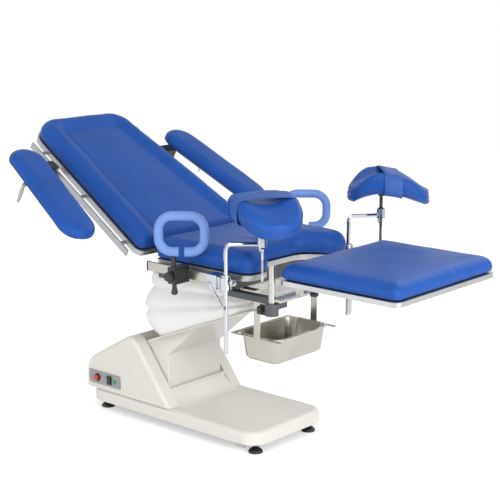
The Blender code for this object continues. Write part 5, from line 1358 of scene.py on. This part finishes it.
    def rim(self, pad: bpy.types.Object, share: float) -> bpy.types.Object:
        """A piped seam on the cushion's side wall.

        Args:
            pad: upholstered cushion.
            share: place between the wall's foot, 0, and its top, 1.

        Returns:
            The piping.
        """
        sides: list[list[Point]] = [[], []]
        for along in self.stations(self.rim_stations):
            width = self.width(along)
            low = self.base(along) + self.base_roll
            high = self.height(along, width) - self.top_roll
            for row, way in zip(sides, (-1, 1)):
                row.append((along, way * width, low + share * (high - low)))
        ring = evenly([*sides[0], *reversed(sides[1])], WELT_POINTS)
        line = softened(laid_on(pad, ring, self.rim_proud), self.rim_softening)
        return tube(line, self.rim_radius, WELT_FACETS, closed=True)

    def build(self, bench: Bench) -> None:
        """Make both supports' cushions, straps, piping and screws.

        Args:
            bench: where they are put.
        """
        for side in Side:
            label = side.label
            frame = self.frame(side)
            pad = self.stuffing.stuff(self.saddle(), partial(self.lift, side))
            strap = self.strap(pad)
            piping = merged(*(self.rim(pad, share) for share in self.rim_shares))
            body = f"knee_{label}"
            bench.put(pad, f"knee_cushion_{label}", VINYL, body, frame, f"knee_pad_{label}")
            bench.put(strap, f"knee_strap_{label}", STRAP, body, frame)
            bench.put(piping, f"knee_piping_{label}", WELT, body, frame)
            place = (self.post_x + self.screw_ahead, side.value * self.post_y, self.screw_z)
            screw = turned(self.screw, place, AHEAD)
            bench.put(screw, f"leg_clamp_screw_{label}", CHROME, "seat")


@dataclass
class HandGrips:
    """Foam loops, and the vertical lock knobs under their clamps."""

    x_near: float = -0.238
    x_far: float = -0.285
    drop_far: float = 0.022
    y: float = 0.380
    turn: float = 38.0
    half_width: float = 0.082
    bottom: float = 0.7685
    height: float = 0.130
    corner: float = 0.050
    corner_steps: int = 10
    radius: float = 0.0166
    facets: int = 7
    mouth: float = 0.022
    stem_offset: float = 0.030
    end_round: float = 0.004
    end_round_steps: int = 3
    end_round_angle: float = 60.0
    fill: float = 0.9
    knob: Profile = ((0.0, 0.0), (0.008, 0.0), (0.0115, 0.003), (0.0120, 0.010), (0.0095, 0.020),
                     (0.0085, 0.028), (0.0075, 0.040), (0.0, 0.040))
    knob_ahead: float = 0.004
    knob_z: float = 0.613

    def centre_line(self) -> list[Point]:
        """A rounded rectangle with a gap in its bottom bar.

        Returns:
            Points from one side of the gap round to the other.
        """
        low = self.bottom
        high = self.bottom + self.height
        points: list[Point] = [(-self.mouth / 2, 0.0, low)]
        quarters = ((-1, low + self.corner, 1.5), (-1, high - self.corner, 1.0), (1, high - self.corner, 0.5),
                    (1, low + self.corner, 0.0))
        for way, centre_z, start in quarters:
            centre_x = way * (self.half_width - self.corner)
            for step in range(self.corner_steps + 1):
                angle = math.pi * (start - step / (2 * self.corner_steps))
                x = centre_x + self.corner * math.cos(angle)
                points.append((x, 0.0, centre_z + self.corner * math.sin(angle)))
        points.append((self.mouth / 2, 0.0, low))
        return points

    def build(self, bench: Bench) -> None:
        """Make both grips and their knobs.

        Args:
            bench: where they are put.
        """
        for side in Side:
            x = side.pick(self.x_near, self.x_far)
            y = side.value * self.y
            frame = (Matrix.Translation((x, y, -side.pick(0.0, self.drop_far)))
                     @ Matrix.Rotation(math.radians(self.turn), 4, "Z")
                     @ Matrix.Translation((self.stem_offset, 0.0, 0.0)))
            loop = tube(self.centre_line(), self.radius, self.facets)
            bevel = loop.modifiers.new("soft_ends", "BEVEL")
            bevel.width = self.end_round
            bevel.segments = self.end_round_steps
            bevel.limit_method = "ANGLE"
            bevel.angle_limit = math.radians(self.end_round_angle)
            bench.put(baked(loop), f"grip_foam_{side.label}", FOAM, f"handle_{side.label}", frame,
                      f"handle_loop_{side.label}")
            knob = turned(self.knob, (x + self.knob_ahead, y, self.knob_z), UP)
            bench.put(knob, f"grip_lock_knob_{side.label}", NYLON, "seat")


class Fold(NamedTuple):
    """One ring of the bellows, tilted from its rear to its front."""

    rear_x: float
    rear_z: float
    front_x: float
    front_z: float
    half_width: float


@dataclass
class Column:
    """Bellows between the column's slab and the seat."""

    corner: float = 0.05
    corner_steps: int = 6
    point_spacing: float = 0.06
    wall: float = 0.003
    # A point on the slab's front edge, its slope, and how far above it the bellows starts
    slab_front: tuple[float, float] = (-0.055, 0.537)
    slab_slope: float = math.tan(math.radians(21.6))
    slab_gap: float = 0.0068
    foot_rear: float = -0.530
    foot_front: float = -0.070
    foot_half_width: float = 0.196
    folds: tuple[Fold, ...] = (
        Fold(-0.590, 0.400, -0.073, 0.549, 0.209), Fold(-0.604, 0.446, -0.082, 0.556, 0.209),
        Fold(-0.588, 0.460, -0.094, 0.559, 0.194), Fold(-0.606, 0.472, -0.080, 0.563, 0.211),
        Fold(-0.588, 0.524, -0.096, 0.577, 0.207), Fold(-0.560, 0.563, -0.120, 0.588, 0.192),
        Fold(-0.573, 0.571, -0.104, 0.592, 0.204), Fold(-0.567, 0.600, -0.085, 0.6205, 0.201))
    top: Fold = Fold(-0.558, 0.6276, -0.095, 0.6276, 0.193)
    crisp_folds: tuple[int, ...] = (0, 3, 6)
    crispness: float = 0.85
    crisp_angle: float = 80.0
    softening: int = 2
    # Where the cloth leaves the column, and where it meets the seat
    blend_start: Point = (-0.160, 0.0, 0.5138)
    blend_end: Point = (-0.1787, 0.0, 0.6120)

    def foot(self) -> Fold:
        """The lowest ring, along the slab.

        Returns:
            The ring.
        """
        edge_x, edge_z = self.slab_front
        rear_z, front_z = (edge_z + (x - edge_x) * self.slab_slope + self.slab_gap
                           for x in (self.foot_rear, self.foot_front))
        return Fold(self.foot_rear, rear_z, self.foot_front, front_z, self.foot_half_width)

    def ring(self, fold: Fold, inset: float = 0.0) -> list[Point]:
        """Points of one ring of the bellows.

        Args:
            fold: the ring's sizes.
            inset: distance inwards.

        Returns:
            Its points, with extra ones along its straights.
        """
        slope = (fold.front_z - fold.rear_z) / (fold.front_x - fold.rear_x)
        corners = rectangle(fold.rear_x, fold.front_x, fold.half_width, self.corner, self.corner)
        plan = rounded(corners, inset, self.corner_steps)
        points: list[Point] = []
        for (x, y), (x_next, y_next) in zip(plan, plan[1:] + plan[:1]):
            pieces = max(1, round(math.hypot(x_next - x, y_next - y) / self.point_spacing))
            for piece in range(pieces):
                share = piece / pieces
                x_here = x + (x_next - x) * share
                y_here = y + (y_next - y) * share
                points.append((x_here, y_here, fold.rear_z + slope * (x_here - fold.rear_x)))
        return points

    def crisp(self, shape: bpy.types.Object, rings: Sequence[int], count: int) -> None:
        """Keep some rings of the bellows sharp under subdivision.

        Args:
            shape: lofted bellows.
            rings: ring numbers to keep sharp.
            count: points of a ring.
        """
        layer = shape.data.attributes.new("crease_edge", "FLOAT", "EDGE")
        for edge in shape.data.edges:
            first, second = (vertex // count for vertex in edge.vertices)
            if first == second and first in rings:
                layer.data[edge.index].value = self.crispness

    def build(self, bench: Bench) -> None:
        """Make the bellows and put it between the column and the seat, on no body.

        Args:
            bench: where it is put.
        """
        folds = [self.foot(), *self.folds, self.top]
        count = min(len(self.ring(fold)) for fold in folds)
        skin = [evenly(self.ring(fold), count) for fold in folds]
        lining = [evenly(self.ring(fold, self.wall), count) for fold in reversed(folds)]
        bellows = shape_of(loft(skin + lining, closed=True), self.crisp_angle)
        self.crisp(bellows, (*self.crisp_folds, len(folds) - 1), count)
        soft = bellows.modifiers.new("soft", "SUBSURF")
        soft.levels = self.softening
        soft.render_levels = self.softening
        bellows = baked(bellows)
        bench.put(bellows, "bellows_cloth", BELLOWS, "", replaces="bellows")
        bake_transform(bellows)


@dataclass
class Controls:
    """Lamp, button ring, screws and switch bezel of the control panel."""

    face_y: float = -0.2169
    x_low: float = -0.888
    x_high: float = -0.708
    z_low: float = 0.112
    z_high: float = 0.166
    out: Point = (0.0, -1.0, 0.0)
    lamp_x: float = -0.737
    lamp: Profile = ((0.0075, 0.0002), (0.0075, 0.002), (0.0062, 0.003), (0.0060, 0.0055), (0.0040, 0.0075),
                     (0.0, 0.0082))
    button_x: float = -0.838
    button_ring: Profile = ((0.0128, 0.0002), (0.0160, 0.0002), (0.0165, 0.0012), (0.0158, 0.0022),
                            (0.0130, 0.0022))
    screw: Profile = ((0.0, 0.0002), (0.0032, 0.0002), (0.0030, 0.0012), (0.0018, 0.0019), (0.0, 0.0020))
    screw_inset: float = 0.008
    screw_steps: int = 16
    switch_x: float = -0.768
    bezel_half_width: float = 0.0125
    bezel_half_height: float = 0.0185
    bezel_radius: float = 0.003
    bezel_corner_steps: int = 4
    # How far each ring of the bezel is drawn in, and how far it stands out of the panel
    bezel_levels: tuple[Level, ...] = ((0.0, 0.0002), (0.0, 0.0018), (0.0008, 0.0024), (0.0017, 0.0018),
                                       (0.0017, 0.0002))

    def bezel(self, middle_z: float) -> bpy.types.Object:
        """The raised frame round the switch.

        Args:
            middle_z: height of the panel's middle.

        Returns:
            The frame.
        """
        half_x = self.bezel_half_width
        half_z = self.bezel_half_height
        corners = rectangle(-half_x, half_x, half_z, self.bezel_radius, self.bezel_radius)
        outline = rounded(corners, 0.0, self.bezel_corner_steps)
        rings = []
        for drawn, height in self.bezel_levels:
            rings.append([(self.switch_x + x * (1 - drawn / half_x), self.face_y - height,
                           middle_z + z * (1 - drawn / half_z)) for x, z in outline])
        return shape_of(loft(rings, closed=True))

    def build(self, bench: Bench) -> None:
        """Make the panel's small pieces.

        Args:
            bench: where they are put.
        """
        middle_z = (self.z_low + self.z_high) / 2
        lens = turned(self.lamp, (self.lamp_x, self.face_y, middle_z), self.out)
        bench.put(lens, "pilot_lamp", GREEN, "base")
        ring = turned(self.button_ring, (self.button_x, self.face_y, middle_z), self.out)
        bench.put(ring, "stop_button_ring", NYLON, "base")
        screws = []
        for x in (self.x_low + self.screw_inset, self.x_high - self.screw_inset):
            for z in (self.z_low + self.screw_inset, self.z_high - self.screw_inset):
                screws.append(turned(self.screw, (x, self.face_y, z), self.out, self.screw_steps))
        bench.put(merged(*screws), "panel_screws", CHROME, "base")
        bench.put(self.bezel(middle_z), "switch_bezel", NYLON, "base")


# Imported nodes

def dress_nodes(nodes: dict[str, bpy.types.Object]) -> None:
    """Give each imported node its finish, and soften its edges.

    Args:
        nodes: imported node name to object.
    """
    starts = sorted(NODE_FINISHES, key=len, reverse=True)
    for name, node in nodes.items():
        start = next((start for start in starts if name.startswith(start)), None)
        if start is None:
            continue
        finish = NODE_FINISHES[start]
        moulded = finish is ABS
        node.data.materials.clear()
        node.data.materials.append(finish.material())
        weld = node.modifiers.new("weld", "WELD")
        weld.merge_threshold = NODE_WELD
        bevel = node.modifiers.new("edges", "BEVEL")
        bevel.width = MOULDED_EDGES.get(name, MOULDED_EDGE if moulded else PLAIN_EDGE)
        bevel.segments = MOULDED_EDGE_STEPS if moulded else PLAIN_EDGE_STEPS
        bevel.limit_method = "ANGLE"
        bevel.angle_limit = math.radians(EDGE_ANGLE)
        bevel.use_clamp_overlap = True
        shade = node.modifiers.new("shade", "WEIGHTED_NORMAL")
        shade.keep_sharp = False
        for polygon in node.data.polygons:
            polygon.use_smooth = True
        log.info("dressed %s in %s", name, finish.name)


# Studio

class Softbox(NamedTuple):
    """One square lamp: where it hangs, where it points, its edge and its power in watts."""

    name: str
    place: Point
    target: Point
    size: float
    watts: float


@dataclass
class Studio:
    """Pale floor, soft lights and the camera of the photograph."""

    camera_at: Point = (2.974, -3.624, 1.753)
    azimuth: float = 41.29
    pitch: float = 12.11
    focal_px: float = 1311.1
    frame_px: float = 500.0
    sensor_mm: float = 36.0
    sight_limit: float = 300.0
    floor_colour: str = "F6F6F5"
    floor_roughness: float = 0.9
    floor_size: float = 120.0
    floor_lift: float = 0.45
    white: str = "FFFFFF"
    room_light: float = 0.48
    sky_light: float = 0.35
    sky_spread: float = 60.0
    sky_tilt: tuple[float, float] = (28.0, 18.0)
    softboxes: tuple[Softbox, ...] = (
        Softbox("key", (2.4, -2.6, 2.4), (0.0, 0.0, 0.6), 2.2, 44.0),
        Softbox("front", (3.8, -0.6, 1.4), (0.0, 0.0, 0.6), 2.0, 74.0),
        Softbox("side", (-1.2, -3.8, 1.3), (0.0, 0.0, 0.6), 2.4, 36.0),
        Softbox("rim", (0.4, 3.4, 2.8), (0.0, 0.0, 0.7), 2.4, 26.0))

    def build(self, origin: Vector) -> None:
        """Set up the camera, the floor, the world and the lights.

        Args:
            origin: the table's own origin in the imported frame.
        """
        scene = bpy.context.scene
        scene.view_settings.view_transform = "Standard"
        camera_data = bpy.data.cameras.new("camera")
        camera_data.sensor_width = self.sensor_mm
        camera_data.lens = self.focal_px * self.sensor_mm / self.frame_px
        camera_data.clip_end = self.sight_limit
        camera = bpy.data.objects.new("camera", camera_data)
        camera.location = Vector(self.camera_at) + origin
        camera.rotation_euler = (math.radians(90.0 - self.pitch), 0.0, math.radians(self.azimuth))
        scene.collection.objects.link(camera)
        scene.camera = camera
        self.add_floor()
        self.add_world(scene)
        for softbox in self.softboxes:
            self.hang(scene, softbox)

    def sight(self, tree: bpy.types.NodeTree) -> bpy.types.NodeSocket:
        """Tell the rays that show the white surroundings from those that light the table.

        Args:
            tree: node tree of the floor or of the world.

        Returns:
            One for rays from the camera, off metal or through glass, and zero for the rest.
        """
        path = add_node(tree, "ShaderNodeLightPath")
        seen = path.outputs["Is Camera Ray"]
        for ray in ("Is Glossy Ray", "Is Transmission Ray"):
            either = add_node(tree, "ShaderNodeMath", {0: seen, 1: path.outputs[ray]}, operation="MAXIMUM")
            seen = either.outputs["Value"]
        return seen

    def add_floor(self) -> None:
        """Lay a pale matt floor that looks white and keeps the table's shadow."""
        bm = bmesh.new()
        bmesh.ops.create_grid(bm, x_segments=1, y_segments=1, size=self.floor_size / 2)
        floor = shape_of(bm)
        floor.name = "floor"
        material = bpy.data.materials.new("matt_floor")
        material.use_nodes = True
        tree = material.node_tree
        shader = tree.nodes["Principled BSDF"]
        shader.inputs["Base Color"].default_value = linear(self.floor_colour)
        shader.inputs["Roughness"].default_value = self.floor_roughness
        shader.inputs["Emission Color"].default_value = linear(self.white)
        glow = add_node(tree, "ShaderNodeMath", {0: self.sight(tree)}, operation="MULTIPLY")
        glow.inputs[1].default_value = self.floor_lift
        tree.links.new(glow.outputs["Value"], shader.inputs["Emission Strength"])
        floor.data.materials.append(material)

    def add_world(self, scene: bpy.types.Scene) -> None:
        """Soft surroundings, plain white to the camera and in reflections, and a broad light from above.

        Args:
            scene: scene to light.
        """
        world = bpy.data.worlds.new("studio")
        world.use_nodes = True
        scene.world = world
        tree = world.node_tree
        tree.nodes.clear()
        seen = add_node(tree, "ShaderNodeMix", {"Factor": self.sight(tree)}, data_type="FLOAT",
                        A=self.room_light, B=1.0)
        light = add_node(tree, "ShaderNodeBackground", {"Strength": seen.outputs["Result"]},
                         Color=linear(self.white))
        add_node(tree, "ShaderNodeOutputWorld", {"Surface": light.outputs["Background"]})
        sun_data = bpy.data.lights.new("sky", "SUN")
        sun_data.energy = self.sky_light
        sun_data.angle = math.radians(self.sky_spread)
        sun = bpy.data.objects.new("sky", sun_data)
        sun.rotation_euler = (*(math.radians(tilt) for tilt in self.sky_tilt), 0.0)
        scene.collection.objects.link(sun)

    def hang(self, scene: bpy.types.Scene, softbox: Softbox) -> None:
        """Hang one square softbox.

        Args:
            scene: scene to light.
            softbox: the lamp.
        """
        data = bpy.data.lights.new(softbox.name, "AREA")
        data.size = softbox.size
        data.energy = softbox.watts
        lamp = bpy.data.objects.new(softbox.name, data)
        lamp.location = softbox.place
        towards = Vector(softbox.target) - Vector(softbox.place)
        lamp.rotation_euler = towards.to_track_quat("-Z", "Y").to_euler()
        scene.collection.objects.link(lamp)


def main() -> None:
    """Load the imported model, set the studio, and dress the model piece by piece."""
    logging.basicConfig(level=logging.INFO, format="%(message)s")
    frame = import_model()
    low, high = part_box("base_cover")
    origin = Vector((high[0], (low[1] + high[1]) / 2, 0.0))
    bench = Bench(origin)
    Studio().build(origin)
    dress_nodes(frame["nodes"])
    back = Backrest()
    assemblies = (Seat(), back, ArmBoards(back), LegSection(), KneeSupports(), HandGrips(), Column(),
                  Controls())
    for assembly in assemblies:
        assembly.build(bench)
    log.info("%d pieces made", len(bench.made))


if __name__ == "__main__":
    main()
